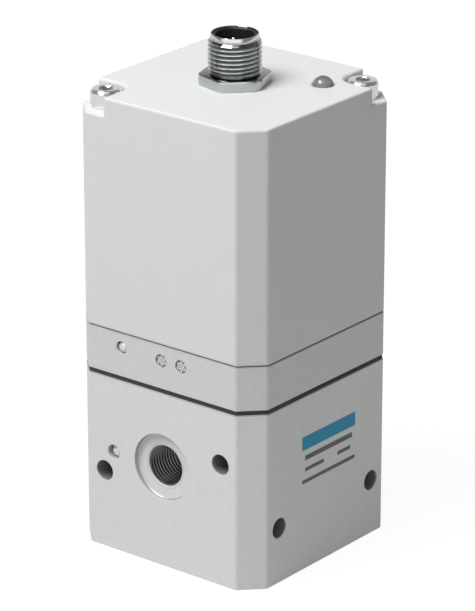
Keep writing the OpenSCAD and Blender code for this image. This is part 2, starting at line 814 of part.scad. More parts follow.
// Corner outline round a screw: a quarter round towards the middle, open to both faces
module corner_pad(r) {
    reach = screw_inset + over;
    circle(r);
    translate([-reach, -reach]) square([reach + r, reach]);
    translate([-reach, -reach]) square([reach, reach + r]);
}

module at_posts() {
    for (turn = [0, 180]) rotate([0, 0, turn]) translate([-screw_p, -screw_p, 0]) children();
}

post_r = screw_d / 2 + hole_gap + post_wall;
pocket_r = notch_r + post_wall;

// Room inside the cover, with the two screw posts left standing
module cover_room(r) {
    difference() {
        inset_octagon(cover_wall);
        at_posts() corner_pad(r);
    }
}

module cover_gasket() {
    color([0.25, 0.26, 0.26]) translate([0, 0, z_plate_top]) linear_extrude(gasket_t)
        difference() {
            inset_octagon(gasket_setback);
            cover_room(post_r);
            at_long_screws() circle(d = screw_d + 2 * hole_gap);
        }
}

// Section of what the rim round of a notch takes off, beside the notch wall
module notch_rim() {
    translate([notch_r, 0]) mirror([1, 0]) corner_waste(notch_edge_r);
}

// One corner notch about its screw, with the rim and the two upright edges rounded
module notch() {
    reach = screw_inset + over;
    bottom = z_ledge - cover_edge_r - over;
    translate([0, 0, bottom]) linear_extrude(z_top + over - bottom) corner_pad(notch_r);
    translate([0, 0, z_top]) {
        rotate_extrude(angle = 90) notch_rim();
        rotate([90, 0, 0]) linear_extrude(reach) notch_rim();
        translate([-reach, 0, 0]) rotate([90, 0, 90]) linear_extrude(reach) notch_rim();
    }
    for (flip = [0, 1]) mirror([flip, -flip, 0])
        translate([notch_r, -screw_inset, bottom]) linear_extrude(z_top + over - bottom)
            rotate(180) corner_waste(notch_edge_r);
}

module top_cover() {
    z_pocket = z_ledge - ledge_t;
    color([0.83, 0.84, 0.83]) difference() {
        union() {
            translate([0, 0, z_cover]) block(z_ledge - z_cover, cover_edge_r / 2, cover_edge_r);
            difference() {
                translate([0, 0, z_cover]) block(cover_h, cover_edge_r / 2, cover_edge_r);
                at_posts() notch();
            }
        }
        difference() {
            union() {
                translate([0, 0, z_cover - over])
                    linear_extrude(z_pocket - z_cover + over) cover_room(post_r);
                translate([0, 0, z_pocket])
                    linear_extrude(z_ceiling - z_pocket) cover_room(pocket_r);
            }
            at_bosses() drill(boss_d, z_board_top, z_ceiling + over);
        }
        at_bosses() drill(board_screw_d + 2 * run_gap, z_board_top - over,
            z_board_top + board_screw_l - board_t + tip_gap);
        at_long_screws() drill(screw_d + 2 * hole_gap, z_cover - over, z_top);
        drill(plug_d + 4 * run_gap, z_ceiling - over, z_top + over);
        translate([led_x, led_y, 0]) drill(led_d + 4 * run_gap, z_ceiling - over, z_top + over);
    }
}

module at_bosses() {
    for (s = [-1, 1]) translate([s * boss_p, -s * boss_p, 0]) children();
}

// Turned shell: tail, hexagon, relief groove, thread and smooth rim
module connector_shell() {
    r = plug_d / 2;
    lead = 0.4;
    z_thread = hex_t + relief_w;
    z_rim = plug_h - plug_rim_h;
    color([0.78, 0.78, 0.77]) translate([0, 0, z_top]) difference() {
        union() {
            intersection() {
                rotate([0, 0, hex_turn]) hex_prism(hex_af, hex_t);
                cylinder(d = hex_corner_d, h = hex_t);
            }
            rotate_extrude() polygon([
                [0, -tail_h], [r, -tail_h], [r, 0], [relief_d / 2, 0], [relief_d / 2, z_thread],
                [r - lead, z_thread], [r, z_thread + lead], [r, z_rim - lead],
                [plug_rim_d / 2, z_rim], [plug_rim_d / 2, plug_h], [0, plug_h]
            ]);
        }
        drill(plug_bore, carrier_z - carrier_flange_t, plug_h + over);
        drill(carrier_tail_d, -tail_h - over, plug_h);
        tube((seal_d + seal_wire) / 2, (seal_d - seal_wire) / 2, -over, seal_wire + over);
    }
}

module at_pins() {
    for (i = [0:pin_count - 1])
        rotate([0, 0, pin_turn + 360 * i / pin_count]) translate([pin_circle / 2, 0, 0]) children();
}

module connector_insert() {
    color([0.10, 0.10, 0.11]) translate([0, 0, z_top]) difference() {
        union() {
            drill(carrier_tail_d - 2 * run_gap, -tail_h, carrier_z);
            drill(plug_bore - 2 * run_gap, carrier_z - carrier_flange_t, carrier_z);
        }
        at_pins() drill(pin_d + 2 * run_gap, -tail_h - over, carrier_z + over);
    }
}

module connector_pins() {
    tip = pin_d / 5;
    color([0.80, 0.70, 0.42]) at_pins() rotate_extrude() polygon([
        [0, z_board - lead_end], [pin_d / 2, z_board - lead_end],
        [pin_d / 2, z_top + plug_h - pin_drop - tip],
        [pin_d / 2 - tip, z_top + plug_h - pin_drop], [0, z_top + plug_h - pin_drop]
    ]);
}

module connector_seal() {
    color([0.12, 0.12, 0.12]) o_ring(seal_d / 2, seal_wire / 2 - run_gap / 2, z_top + seal_wire / 2);
}

module connector_locknut() {
    color([0.72, 0.72, 0.71]) translate([0, 0, z_ceiling - locknut_h]) difference() {
        hex_prism(locknut_af, locknut_h);
        drill(plug_d + 2 * run_gap, -over, locknut_h + over);
    }
}

module status_led() {
    r = led_d / 2;
    drop = cover_top_t - (r - led_h);
    color([0.40, 0.41, 0.40]) translate([led_x, led_y, z_top - (r - led_h)]) rotate_extrude() {
        intersection() {
            circle(r);
            square(r);
        }
        translate([0, -drop]) square([r, drop]);
        translate([0, -drop - led_flange_t]) square([led_flange_d / 2, led_flange_t]);
    }
}

module led_leads() {
    color([0.75, 0.76, 0.76]) for (s = [-1, 1])
        translate([led_x, led_y + s * led_lead_gap / 2, 0])
            drill(led_lead_d, z_board - lead_end, z_ceiling - led_flange_t);
}

module circuit_board() {
    color([0.10, 0.36, 0.22]) translate([0, 0, z_board]) linear_extrude(board_t)
        difference() {
            inset_octagon(cover_wall + board_margin);
            at_posts() corner_pad(pocket_r + board_margin);
            at_pins() circle(d = pin_d + 2 * run_gap);
            at_bosses() circle(d = board_screw_d + 2 * hole_gap);
            for (s = [-1, 1]) translate([led_x, led_y + s * led_lead_gap / 2])
                circle(d = led_lead_d + 2 * run_gap);
        }
}

// Parts soldered under the board: processor and two capacitors beside the pins, and a plug
// socket beside each board screw
module board_components() {
    chip_w = 9;
    chip_t = 1.4;
    can_d = 6.3;
    can_h = 7;
    socket_l = 11;
    socket_w = 5;
    socket_h = 6;
    pin_room = 3.2;
    part_gap = 0.5;
    reach = (pin_circle + pin_d) / 2 + pin_room;
    color([0.14, 0.14, 0.15]) translate([0, 0, z_board]) {
        translate([reach, -chip_w / 2, -chip_t]) cube([chip_w, chip_w, chip_t]);
        for (i = [0, 1]) translate([-reach - can_d / 2, -i * (can_d + part_gap), -can_h])
            cylinder(d = can_d, h = can_h);
        for (turn = [0, 180]) rotate([0, 0, turn])
            translate([boss_p - socket_l, board_head_d / 2 + part_gap - boss_p, -socket_h])
                cube([socket_l, socket_w, socket_h]);
    }
}

module board_screws() {
    color([0.70, 0.71, 0.73]) at_bosses() translate([0, 0, z_board]) mirror([0, 0, 1])
        cap_screw(board_screw_d, board_screw_l, board_head_d, board_head_h,
            small_socket_af, small_socket_depth);
}

// Sensor can on a hexagon with a threaded stub
module pressure_sensor() {
    hex_h = 3;
    color([0.76, 0.77, 0.78]) translate([sense_x, sense_y, z_plate_top]) difference() {
        union() {
            hex_prism(sensor_af, hex_h);
            drill(sensor_d, hex_h, hex_h + sensor_h);
            drill(stub_d, -stub_l, 0);
        }
        drill(channel_d, -stub_l - over, hex_h);
        tube(stub_seal_r + seal_wire / 2, stub_seal_r - seal_wire / 2, -over, seal_wire + over);
    }
}

module sensor_seal() {
    color([0.12, 0.12, 0.12]) translate([sense_x, sense_y, 0])
        o_ring(stub_seal_r, (seal_wire - run_gap) / 2, z_plate_top + seal_wire / 2);
}

// Ports of the pilot valves in the plate, and their screws on the other diagonals
module supply_and_vent_ports() {
    translate([-plate_ball_x, -pilot_port_y, 0]) children();
    translate([breather_step, -pilot_port_y, 0]) children();
}

module chamber_ports() {
    translate([pilot_port_x - fill_x, pilot_port_y, 0]) children();
    translate([vent_x - pilot_port_x, pilot_port_y, 0]) children();
}

module pilot_ports() {
    supply_and_vent_ports() children();
    chamber_ports() children();
}

module pilot_screws() {
    translate([-fill_x, 0, 0]) for (s = [-1, 1])
        translate([-s * pilot_screw_x, s * pilot_screw_y, 0]) children();
    translate([vent_x, 0, 0]) for (s = [-1, 1])
        translate([s * pilot_screw_x, s * pilot_screw_y, 0]) children();
}

// Base with the nozzle that a plunger closes
module pilot_base(x) {
    nozzle_d = 2.4;
    room_d = plunger_d + 4 * hole_gap;
    z_room = z_plunger - over;
    duct = 1.5;
    color([0.16, 0.17, 0.18]) difference() {
        translate([x - pilot_w / 2, -pilot_l / 2, z_plate_top])
            cube([pilot_w, pilot_l, pilot_base_h]);
        translate([x, 0, 0]) {
            tube(room_d / 2, nozzle_d / 2, z_room, pilot_base_h);
            drill(room_d, z_plunger, z_pilot_coil + over);
            drill(channel_d / 2, z_plate_top + over, z_plunger + over);
        }
        pilot_ports() {
            drill(channel_d, z_plate_top - over, z_plate_top + duct);
            tube(duct_seal_r + seal_wire / 2, duct_seal_r - seal_wire / 2, z_plate_top - over,
                seal_wire + over);
        }
        pilot_screws() drill(pilot_screw_d + 2 * hole_gap, z_plate_top - over, z_pilot_coil + over);
    }
}

// Coil with its yoke, and the fixed core that holds the plunger spring
module pilot_coil(x) {
    color([0.20, 0.21, 0.24]) difference() {
        translate([x - pilot_w / 2, -pilot_l / 2, z_pilot_coil])
            cube([pilot_w, pilot_l, pilot_coil_h]);
        translate([x, 0, 0]) {
            drill(plunger_d + 2 * run_gap, z_pilot_coil - over, z_core);
            drill(plunger_spring_d + plunger_wire + spring_room, z_core - over,
                z_core + core_pocket);
        }
        pilot_screws() drill(pilot_screw_d + 2 * hole_gap, z_pilot_coil - over, z_pilot_top + over);
    }
}

module pilot_plunger(x) {
    color([0.62, 0.63, 0.66]) translate([x, 0, 0])
        drill(plunger_d, z_plunger, z_plunger + plunger_l);
}

module pilot_spring(x) {
    color([0.75, 0.76, 0.78]) translate([x, 0, 0]) coil_spring(plunger_spring_d / 2,
        plunger_wire / 2, plunger_turns, z_plunger + plunger_l, z_core + core_pocket);
}

module fill_valve_base() { pilot_base(-fill_x); }
module fill_valve_coil() { pilot_coil(-fill_x); }
module fill_plunger() { pilot_plunger(-fill_x); }
module fill_spring() { pilot_spring(-fill_x); }
module vent_valve_base() { pilot_base(vent_x); }
module vent_valve_coil() { pilot_coil(vent_x); }
module vent_plunger() { pilot_plunger(vent_x); }
module vent_spring() { pilot_spring(vent_x); }

module pilot_valve_seals() {
    color([0.12, 0.12, 0.12]) pilot_ports()
        o_ring(duct_seal_r, (seal_wire - run_gap) / 2, z_plate_top + seal_wire / 2);
}

module pilot_valve_screws() {
    color([0.70, 0.71, 0.73]) pilot_screws() translate([0, 0, z_pilot_top])
        cap_screw(pilot_screw_d, z_pilot_top - z_plate_top + pilot_screw_grip, pilot_head_d,
            pilot_head_h, small_socket_af, small_socket_depth);
}

valve_body();
body_ball_plug();
poppet_guide();
poppet_o_ring();
poppet_spring();
poppet();
poppet_seal();
valve_sleeve();
sleeve_o_rings();
stem_guide();
retaining_ring();
diaphragm_stem();
relief_pad();
diaphragm();
diaphragm_washer();
diaphragm_nut();
pilot_plate();
plate_ball_plug();
breather_discs();
short_screws();
long_screws();
cover_gasket();
top_cover();
connector_shell();
connector_insert();
connector_pins();
connector_seal();
connector_locknut();
status_led();
led_leads();
circuit_board();
board_components();
board_screws();
pressure_sensor();
sensor_seal();
fill_valve_base();
fill_valve_coil();
fill_plunger();
fill_spring();
vent_valve_base();
vent_valve_coil();
vent_plunger();
vent_spring();
pilot_valve_seals();
pilot_valve_screws();
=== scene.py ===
"""Looks of an electro-pneumatic regulator: finishes, threads, screws, breathers and a studio."""

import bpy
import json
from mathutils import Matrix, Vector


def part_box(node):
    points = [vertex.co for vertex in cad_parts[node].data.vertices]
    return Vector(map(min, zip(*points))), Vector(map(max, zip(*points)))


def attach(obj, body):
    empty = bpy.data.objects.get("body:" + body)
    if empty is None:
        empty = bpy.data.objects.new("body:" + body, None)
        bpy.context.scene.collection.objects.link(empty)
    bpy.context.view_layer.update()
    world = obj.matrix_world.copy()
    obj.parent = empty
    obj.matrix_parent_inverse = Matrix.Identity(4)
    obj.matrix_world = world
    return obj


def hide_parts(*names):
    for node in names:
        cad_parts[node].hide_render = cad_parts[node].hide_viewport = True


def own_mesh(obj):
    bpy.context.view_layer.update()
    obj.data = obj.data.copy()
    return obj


bl_info = {
    "name": "Electro-pneumatic regulator looks",
    "version": (1, 0, 0),
    "blender": (4, 5, 0),
    "location": "View3D > Sidebar > Regulator",
    "description": "Dresses the regulator's solids with finishes, threads and a studio",
    "category": "Object",
}

import json
import math

import bpy
from mathutils import Vector

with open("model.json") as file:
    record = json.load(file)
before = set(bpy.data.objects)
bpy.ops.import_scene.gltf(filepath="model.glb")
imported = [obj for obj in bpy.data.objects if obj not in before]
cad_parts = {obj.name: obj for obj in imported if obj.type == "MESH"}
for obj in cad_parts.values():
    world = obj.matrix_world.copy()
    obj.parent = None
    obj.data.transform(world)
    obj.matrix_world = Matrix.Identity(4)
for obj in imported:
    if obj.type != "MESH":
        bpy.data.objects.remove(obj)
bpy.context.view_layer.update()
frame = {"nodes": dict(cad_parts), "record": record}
MM = 0.001
TURN = 2 * math.pi
# Vertices nearer than this are merged
WELD = 0.001 * MM
# Steps in one turn of large, middling and small turned pieces, of a thread and of a spring
LARGE_ROUND, MIDDLE_ROUND, SMALL_ROUND, THREAD_ROUND, SPRING_ROUND = 96, 64, 48, 72, 36
# The wave texture runs through this many radians in one unit of its scale
WAVE_RADIANS = 20
# Ways from the object to the two bright walls of the studio
LEFT_WALL = (0.4, -0.917, 0)
BACK_WALL = (-0.63, 0.777, 0)


def linear(code):
    """Scene-linear colour of an sRGB hex value."""
    parts = [int(code[i:i + 2], 16) / 255 for i in (0, 2, 4)]
    return tuple(c / 12.92 if c <= 0.04045 else ((c + 0.055) / 1.055) ** 2.4 for c in parts)


def node_top(name):
    """Height of the top of one solid, in millimetres."""
    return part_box(name)[1][2] / MM


def mount(name):
    """Place and axis of one of the record's mounts."""
    found = next(m for m in frame["record"]["mounts"] if m["name"] == name)
    return Vector(found["pos_m"]), Vector(found["axis"])


class RegulatorSizes(bpy.types.PropertyGroup):
    """Sizes of what the solids leave plain."""

    plug_crest: bpy.props.FloatProperty(
        name="Plug thread crest", description="Outer radius of the plug thread",
        default=6.0 * MM, unit="LENGTH")
    plug_root: bpy.props.FloatProperty(
        name="Plug thread root", description="Radius at the bottom of the plug thread",
        default=5.42 * MM, unit="LENGTH")
    plug_pitch: bpy.props.FloatProperty(
        name="Plug thread pitch", description="Rise of the plug thread in one turn",
        default=1.0 * MM, unit="LENGTH")
    port_crest: bpy.props.FloatProperty(
        name="Port thread crest", description="Inner radius of the port thread",
        default=4.283 * MM, unit="LENGTH")
    port_root: bpy.props.FloatProperty(
        name="Port thread root", description="Radius of the port's wall",
        default=4.865 * MM, unit="LENGTH")
    port_pitch: bpy.props.FloatProperty(
        name="Port thread pitch", description="Rise of the port thread in one turn",
        default=0.907 * MM, unit="LENGTH")
    grain: bpy.props.FloatProperty(
        name="Breather grain", description="Diameter of one sintered grain",
        default=0.62 * MM, unit="LENGTH")


class RegulatorColours(bpy.types.PropertyGroup):
    """Colours that a user would change."""

    cover: bpy.props.FloatVectorProperty(
        name="Cover", description="Moulded cover", subtype="COLOR", default=linear("d2d4d3"))
    aluminium: bpy.props.FloatVectorProperty(
        name="Aluminium", description="Blasted metal blocks", subtype="COLOR",
        default=linear("d6d7d6"))
    rubber: bpy.props.FloatVectorProperty(
        name="Rubber", description="Diaphragm and seals", subtype="COLOR",
        default=linear("2b2d2c"))
    print_blue: bpy.props.FloatVectorProperty(
        name="Print blue", description="Coloured field on the side", subtype="COLOR",
        default=linear("1f8fb8"))
    print_grey: bpy.props.FloatVectorProperty(
        name="Print grey", description="Thin bars on the side", subtype="COLOR",
        default=linear("5c5f60"))


def put(tree, kind, links=None, **settings):
    """Adds one node with its settings, and links or values for its inputs."""
    node = tree.nodes.new(kind)
    for key, value in settings.items():
        setattr(node, key, value)
    for name, source in (links or {}).items():
        if isinstance(source, bpy.types.NodeSocket):
            tree.links.new(source, node.inputs[name])
        else:
            node.inputs[name].default_value = source
    return node


def new_finish(name, colour, metallic, roughness):
    """Starts a material: returns it with its tree, shader and Object coordinates."""
    material = bpy.data.materials.new(name)
    material.use_nodes = True
    tree = material.node_tree
    shader = tree.nodes["Principled BSDF"]
    shader.inputs["Base Color"].default_value = (*colour, 1)
    shader.inputs["Metallic"].default_value = metallic
    shader.inputs["Roughness"].default_value = roughness
    place = put(tree, "ShaderNodeTexCoord").outputs["Object"]
    return material, tree, shader, place


def shades(colour, low, high):
    """Darker and lighter shade of one colour."""
    return [(*(min(1, c * share) for c in colour), 1) for share in (low, high)]


def drift(tree, shader, share, colour, first, last):
    """Lets the colour run from one shade to another as the share grows."""
    start, end = shades(colour, first, last)
    mix = put(tree, "ShaderNodeMix", {"Factor": share, "A": start, "B": end}, data_type="RGBA")
    tree.links.new(mix.outputs["Result"], shader.inputs["Base Color"])


def overlay(tree, shader, share, colour):
    """Lays another colour over the present one by a share."""
    under = shader.inputs["Base Color"].links[0].from_socket
    mix = put(tree, "ShaderNodeMix", {"Factor": share, "A": under, "B": colour}, data_type="RGBA")
    tree.links.new(mix.outputs["Result"], shader.inputs["Base Color"])


def mottle(tree, shader, place, colour, size, low, high):
    """Lets the colour drift between two shades over patches of the given size."""
    noise = put(tree, "ShaderNodeTexNoise", {"Vector": place, "Scale": 1 / size, "Detail": 3})
    drift(tree, shader, noise.outputs["Fac"], colour, low, high)
    return noise


def relief(tree, shader, place, size, strength, depth, edge=0):
    """Gives the surface a fine grain of the given size and depth, and soft edges if asked."""
    noise = put(tree, "ShaderNodeTexNoise", {"Vector": place, "Scale": 1 / size, "Detail": 2})
    bump = put(tree, "ShaderNodeBump", {
        "Height": noise.outputs["Fac"], "Strength": strength, "Distance": depth})
    if edge:
        soft = put(tree, "ShaderNodeBevel", {"Radius": edge}, samples=6)
        tree.links.new(soft.outputs["Normal"], bump.inputs["Normal"])
    tree.links.new(bump.outputs["Normal"], shader.inputs["Normal"])


def drilled(tree, place, half, cut, seat, plug_level):
    """Mask of the walls of holes and, in part, of the seats round the ports and the plug: where
    machined metal and painted shade go.
    """
    slope = math.sqrt(0.5)
    past_ports, plug_half, foot = 10 * MM, 2.2 * MM, 0.5 * MM
    hole_start, wall_start, wall_end = 0.4 * MM, 0.25 * MM, seat - 0.14 * MM
    seat_share, plug_share = 0.9, 0.45
    found = dict(put(tree, "ShaderNodeSeparateXYZ", {"Vector": place}).outputs.items())
    # Each line names a value and gives the sum that makes it from those before
    for name, operation, *terms in (
            ("x", "ABSOLUTE", "X"),
            ("y", "ABSOLUTE", "Y"),
            ("both", "ADD", "x", "y"),
            ("corner", "MULTIPLY_ADD", "both", slope, half - (2 * half - cut) * slope),
            ("side", "MAXIMUM", "x", "y"),
            ("reach", "MAXIMUM", "side", "corner"),
            ("depth", "SUBTRACT", half, "reach"),
            ("rise", "SUBTRACT", "Z", plug_level),
            ("away", "ABSOLUTE", "rise"),
            ("off_middle", "MINIMUM", "x", "y"),
            ("aside", "GREATER_THAN", "off_middle", past_ports),
            ("off_plug", "GREATER_THAN", "away", plug_half),
            ("mounting", "MULTIPLY", "aside", "off_plug"),
            ("start", "MULTIPLY_ADD", "mounting", hole_start - seat, seat),
            ("holes", "GREATER_THAN", "depth", "start"),
            ("inside", "GREATER_THAN", "depth", wall_start),
            ("before_seat", "LESS_THAN", "depth", wall_end),
            ("walls", "MULTIPLY", "inside", "before_seat"),
            ("share", "MULTIPLY_ADD", "aside", plug_share - seat_share, seat_share),
            ("seats", "MULTIPLY", "walls", "share"),
            ("bare_and_shaded", "MAXIMUM", "holes", "seats"),
            ("above_foot", "GREATER_THAN", "Z", foot),
            ("mask", "MULTIPLY", "bare_and_shaded", "above_foot")):
        inputs = {i: found.get(term, term) for i, term in enumerate(terms)}
        found[name] = put(tree, "ShaderNodeMath", inputs, operation=operation).outputs[0]
    return found["mask"]


def blasted_aluminium(name, colour, top, edge_shade):
    """Aluminium blasted with fine beads and clear anodised: an even satin grey."""
    material, tree, shader, place = new_finish(name, colour, 0.25, 0.6)
    mottle(tree, shader, place, colour, 1.6 * MM, 0.94, 1.05)
    # Bead marks are about 0.1 mm wide; drawn at 0.35 mm so that they show in the picture
    relief(tree, shader, place, 0.35 * MM, 0.35, 0.03 * MM, 0.12 * MM)
    # Painted shade darkens a narrow band along the block's upper edge, where a seal is clamped
    edge_shade_start, edge_shade_full = top - 0.3 * MM, top - 0.15 * MM
    height = put(tree, "ShaderNodeSeparateXYZ", {"Vector": place}).outputs["Z"]
    share = put(tree, "ShaderNodeMapRange", {
        "Value": height, "From Min": edge_shade_start, "From Max": edge_shade_full})
    overlay(tree, shader, share.outputs["Result"], shades(colour, edge_shade, 1)[0])
    return material


def bored_aluminium(name, colour, top, edge_shade):
    """The same metal, drilled after blasting: machined walls that mirror the dark inside, in a
    darker grey that also paints shade into the holes and, in part, onto the seat walls.
    """
    chamfer, seat = 5 * MM, 1.4 * MM
    material = blasted_aluminium(name, colour, top, edge_shade)
    tree = material.node_tree
    place = put(tree, "ShaderNodeTexCoord").outputs["Object"]
    # Machined metal in a darker grey than the metal has: partly a real finish, partly painted
    # shade in the holes
    bare_and_shaded = put(tree, "ShaderNodeBsdfPrincipled", {
        "Base Color": (*linear("aeb0b0"), 1), "Metallic": 0.65, "Roughness": 0.45})
    mask = drilled(tree, place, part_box("valve_body")[1][0], chamfer, seat,
                   mount("supply_port")[0].z)
    mix = put(tree, "ShaderNodeMixShader", {
        0: mask, 1: tree.nodes["Principled BSDF"].outputs["BSDF"], 2: bare_and_shaded.outputs["BSDF"]})
    tree.links.new(mix.outputs["Shader"], tree.nodes["Material Output"].inputs["Surface"])
    return material


def moulded_cover(colour):
    """ABS moulded in a finely eroded tool: an even light grey with a soft, wide gloss."""
    material, tree, shader, place = new_finish("moulded_abs", colour, 0, 0.5)
    mottle(tree, shader, place, colour, 9 * MM, 0.985, 1.012)
    # Tool grain of about 0.15 mm, drawn at 0.3 mm so that it shows
    relief(tree, shader, place, 0.3 * MM, 0.12, 0.02 * MM, 0.6 * MM)
    return material


def nitrile_rubber(colour):
    """Nitrile rubber cut from sheet: black with a dull bloom."""
    material, tree, shader, place = new_finish("nitrile_rubber", colour, 0, 0.65)
    mottle(tree, shader, place, colour, 2.5 * MM, 0.85, 1.2)
    relief(tree, shader, place, 0.4 * MM, 0.2, 0.02 * MM)
    return material


def turned_metal(name, code, roughness, axis, width):
    """Metal turned on a lathe: a bright face with fine rings across the turning axis."""
    colour = linear(code)
    material, tree, shader, place = new_finish(name, colour, 1, roughness)
    # Turning marks lie about 0.1 mm apart; drawn over 1 mm apart so that they show
    wave = put(tree, "ShaderNodeTexWave", {
        "Vector": place, "Scale": 1 / (width * WAVE_RADIANS), "Distortion": 1.5, "Detail": 2},
        wave_type="BANDS", bands_direction=axis)
    drift(tree, shader, wave.outputs["Fac"], colour, 0.9, 1.04)
    bump = put(tree, "ShaderNodeBump", {
        "Height": wave.outputs["Fac"], "Strength": 0.08, "Distance": 0.01 * MM})
    tree.links.new(bump.outputs["Normal"], shader.inputs["Normal"])
    return material


def plated_metal(name, code, roughness, patch, metallic=1):
    """Plated metal: a smooth coat whose gloss drifts a little from place to place."""
    colour = linear(code)
    material, tree, shader, place = new_finish(name, colour, metallic, roughness)
    noise = mottle(tree, shader, place, colour, patch, 0.92, 1.03)
    spread = put(tree, "ShaderNodeMapRange", {
        "Value": noise.outputs["Fac"], "To Min": roughness * 0.75, "To Max": roughness * 1.3})
    tree.links.new(spread.outputs["Result"], shader.inputs["Roughness"])
    return material


def plug_nickel(base, hex_top, thread_top, groove, crest):
    """Bright nickel on the plug: satin on the hexagon, with painted shade in the grooves of the
    thread and on the hexagon's top face.
    """
    material = plated_metal("plug_nickel", "d9dbdb", 0.05, 4 * MM)
    tree = material.node_tree
    shader = tree.nodes["Principled BSDF"]
    place = put(tree, "ShaderNodeTexCoord").outputs["Object"]
    split = put(tree, "ShaderNodeSeparateXYZ", {"Vector": place}).outputs
    flat = put(tree, "ShaderNodeVectorMath", {0: place, 1: (1, 1, 0)}, operation="MULTIPLY")
    radius = put(tree, "ShaderNodeVectorMath", {0: flat.outputs["Vector"]}, operation="LENGTH")
    inner = put(tree, "ShaderNodeMapRange", {
        "Value": radius.outputs["Value"], "From Min": groove, "From Max": crest,
        "To Min": 1.0, "To Max": 0.0}).outputs["Result"]
    shelf_middle, shelf_half = base + hex_top + 0.05 * MM, 0.04 * MM
    found = {"height": split["Z"], "inner": inner}
    # Each line names a value and gives the sum that makes it from those before
    for name, operation, *terms in (
            ("below", "LESS_THAN", "height", base + thread_top),
            ("above", "GREATER_THAN", "height", base + hex_top),
            ("thread", "MULTIPLY", "below", "above"),
            ("grooves", "MULTIPLY", "inner", "thread"),
            ("shelf", "COMPARE", "height", shelf_middle, shelf_half),
            ("painted_shade", "MAXIMUM", "grooves", "shelf"),
            ("satin", "SUBTRACT", 1.0, "above")):
        inputs = {i: found.get(term, term) for i, term in enumerate(terms)}
        found[name] = put(tree, "ShaderNodeMath", inputs, operation=operation).outputs[0]
    # Painted shade darkens the thread's grooves and the hexagon's top face
    for name, code in (("painted_shade", "8a8c8c"), ("satin", "bcbebe")):
        overlay(tree, shader, found[name], (*linear(code), 1))
    return material


def sunken(tree, shader, place, colour, low, front, start, end):
    """Paints shade on what lies deeper behind a front face, between two depths."""
    depth = put(tree, "ShaderNodeSeparateXYZ", {"Vector": place}).outputs["Y"]
    share = put(tree, "ShaderNodeMapRange", {
        "Value": depth, "From Min": front + start, "From Max": front + end})
    drift(tree, shader, share.outputs["Result"], colour, 1, low)


def pressed_ball(name, ring_shade):
    """Steel ball pressed into its hole: satin, with painted shade in the groove round it."""
    groove_start, groove_end = 0.55 * MM, 0.85 * MM
    colour = linear("dfe0e0")
    material, tree, shader, place = new_finish(name + "_steel", colour, 0.5, 0.3)
    # Painted shade darkens the ball between two depths, in the groove round it
    sunken(tree, shader, place, colour, ring_shade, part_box(name)[0][1], groove_start, groove_end)
    relief(tree, shader, place, 0.3 * MM, 0.1, 0.01 * MM)
    return material


def dull_plastic(name, code, roughness, grain):
    """Glass-filled plastic as it leaves the mould: even colour, dull skin."""
    colour = linear(code)
    material, tree, shader, place = new_finish(name, colour, 0, roughness)
    mottle(tree, shader, place, colour, 3 * MM, 0.85, 1.15)
    relief(tree, shader, place, grain, 0.15, 0.02 * MM)
    return material


def sintered_metal():
    """Nickelled bronze grains sintered together: pale grains, with painted shade in the pores
    between them.
    """
    colour = linear("dcdcd8")
    material, tree, shader, place = new_finish("sintered_grains", colour, 0.3, 0.5)
    pore_shade, pore_start, pore_end = 0.42, 0.06 * MM, 0.26 * MM
    sunken(tree, shader, place, colour, pore_shade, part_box("breather_discs")[0][1], pore_start,
           pore_end)
    relief(tree, shader, place, 0.15 * MM, 0.3, 0.02 * MM)
    return material


def smoked_epoxy():
    """Grey-tinted epoxy cast round the lamp: clear and smooth, darker toward its edge."""
    colour = linear("a9abaa")
    material, tree, shader, place = new_finish("smoked_epoxy", colour, 0, 0.14)
    mottle(tree, shader, place, colour, 1.5 * MM, 0.92, 1.05)
    shader.inputs["IOR"].default_value = 1.53
    shader.inputs["Transmission Weight"].default_value = 0.7
    return material


def printed_ink(name, colour):
    """Pad-printed ink: a thin, half-dull film whose shade drifts a little."""
    material, tree, shader, place = new_finish(name, colour, 0, 0.55)
    mottle(tree, shader, place, colour, 0.8 * MM, 0.92, 1.06)
    return material


def clear_selection():
    """Leaves edit mode and selects nothing."""
    if bpy.context.object and bpy.context.object.mode != "OBJECT":
        bpy.ops.object.mode_set(mode="OBJECT")
    bpy.ops.object.select_all(action="DESELECT")


def choose(piece):
    """Makes one object the only selected and active one."""
    clear_selection()
    piece.select_set(True)
    bpy.context.view_layer.objects.active = piece


def settle(piece):
    """Moves an object's place, turn and size into its mesh."""
    choose(piece)
    bpy.ops.object.transform_apply(location=True, rotation=True, scale=True)


def begin(add, **settings):
    """Adds a primitive with nothing else selected, and settles it."""
    clear_selection()
    add(**settings)
    piece = bpy.context.object
    settle(piece)
    return piece


def copy_of(piece, name):
    """Copies a piece with a mesh of its own."""
    twin = piece.copy()
    twin.data = piece.data.copy()
    twin.name = name
    bpy.context.scene.collection.objects.link(twin)
    return twin


def weld(piece):
    """Merges the loose corners of a copied solid."""
    choose(piece)
    bpy.ops.object.mode_set(mode="EDIT")
    bpy.ops.mesh.select_all(action="SELECT")
    bpy.ops.mesh.remove_doubles(threshold=WELD)
    bpy.ops.object.mode_set(mode="OBJECT")


def outline(name, points, lift=0):
    """Draws a closed outline in the XZ plane, in millimetres, by extruding one vertex along it."""
    piece = begin(bpy.ops.mesh.primitive_plane_add, size=MM)
    piece.name = name
    corners = [Vector((x * MM, 0, (z + lift) * MM)) for x, z in points]
    bpy.ops.object.mode_set(mode="EDIT")
    bpy.ops.mesh.select_all(action="SELECT")
    bpy.ops.mesh.merge(type="CENTER")
    bpy.ops.transform.translate(value=corners[0])
    for a, b in zip(corners, corners[1:] + corners[:1]):
        bpy.ops.mesh.extrude_region_move(TRANSFORM_OT_translate={"value": b - a})
    bpy.ops.mesh.select_all(action="SELECT")
    bpy.ops.mesh.remove_doubles(threshold=WELD)
    bpy.ops.object.mode_set(mode="OBJECT")
    return piece


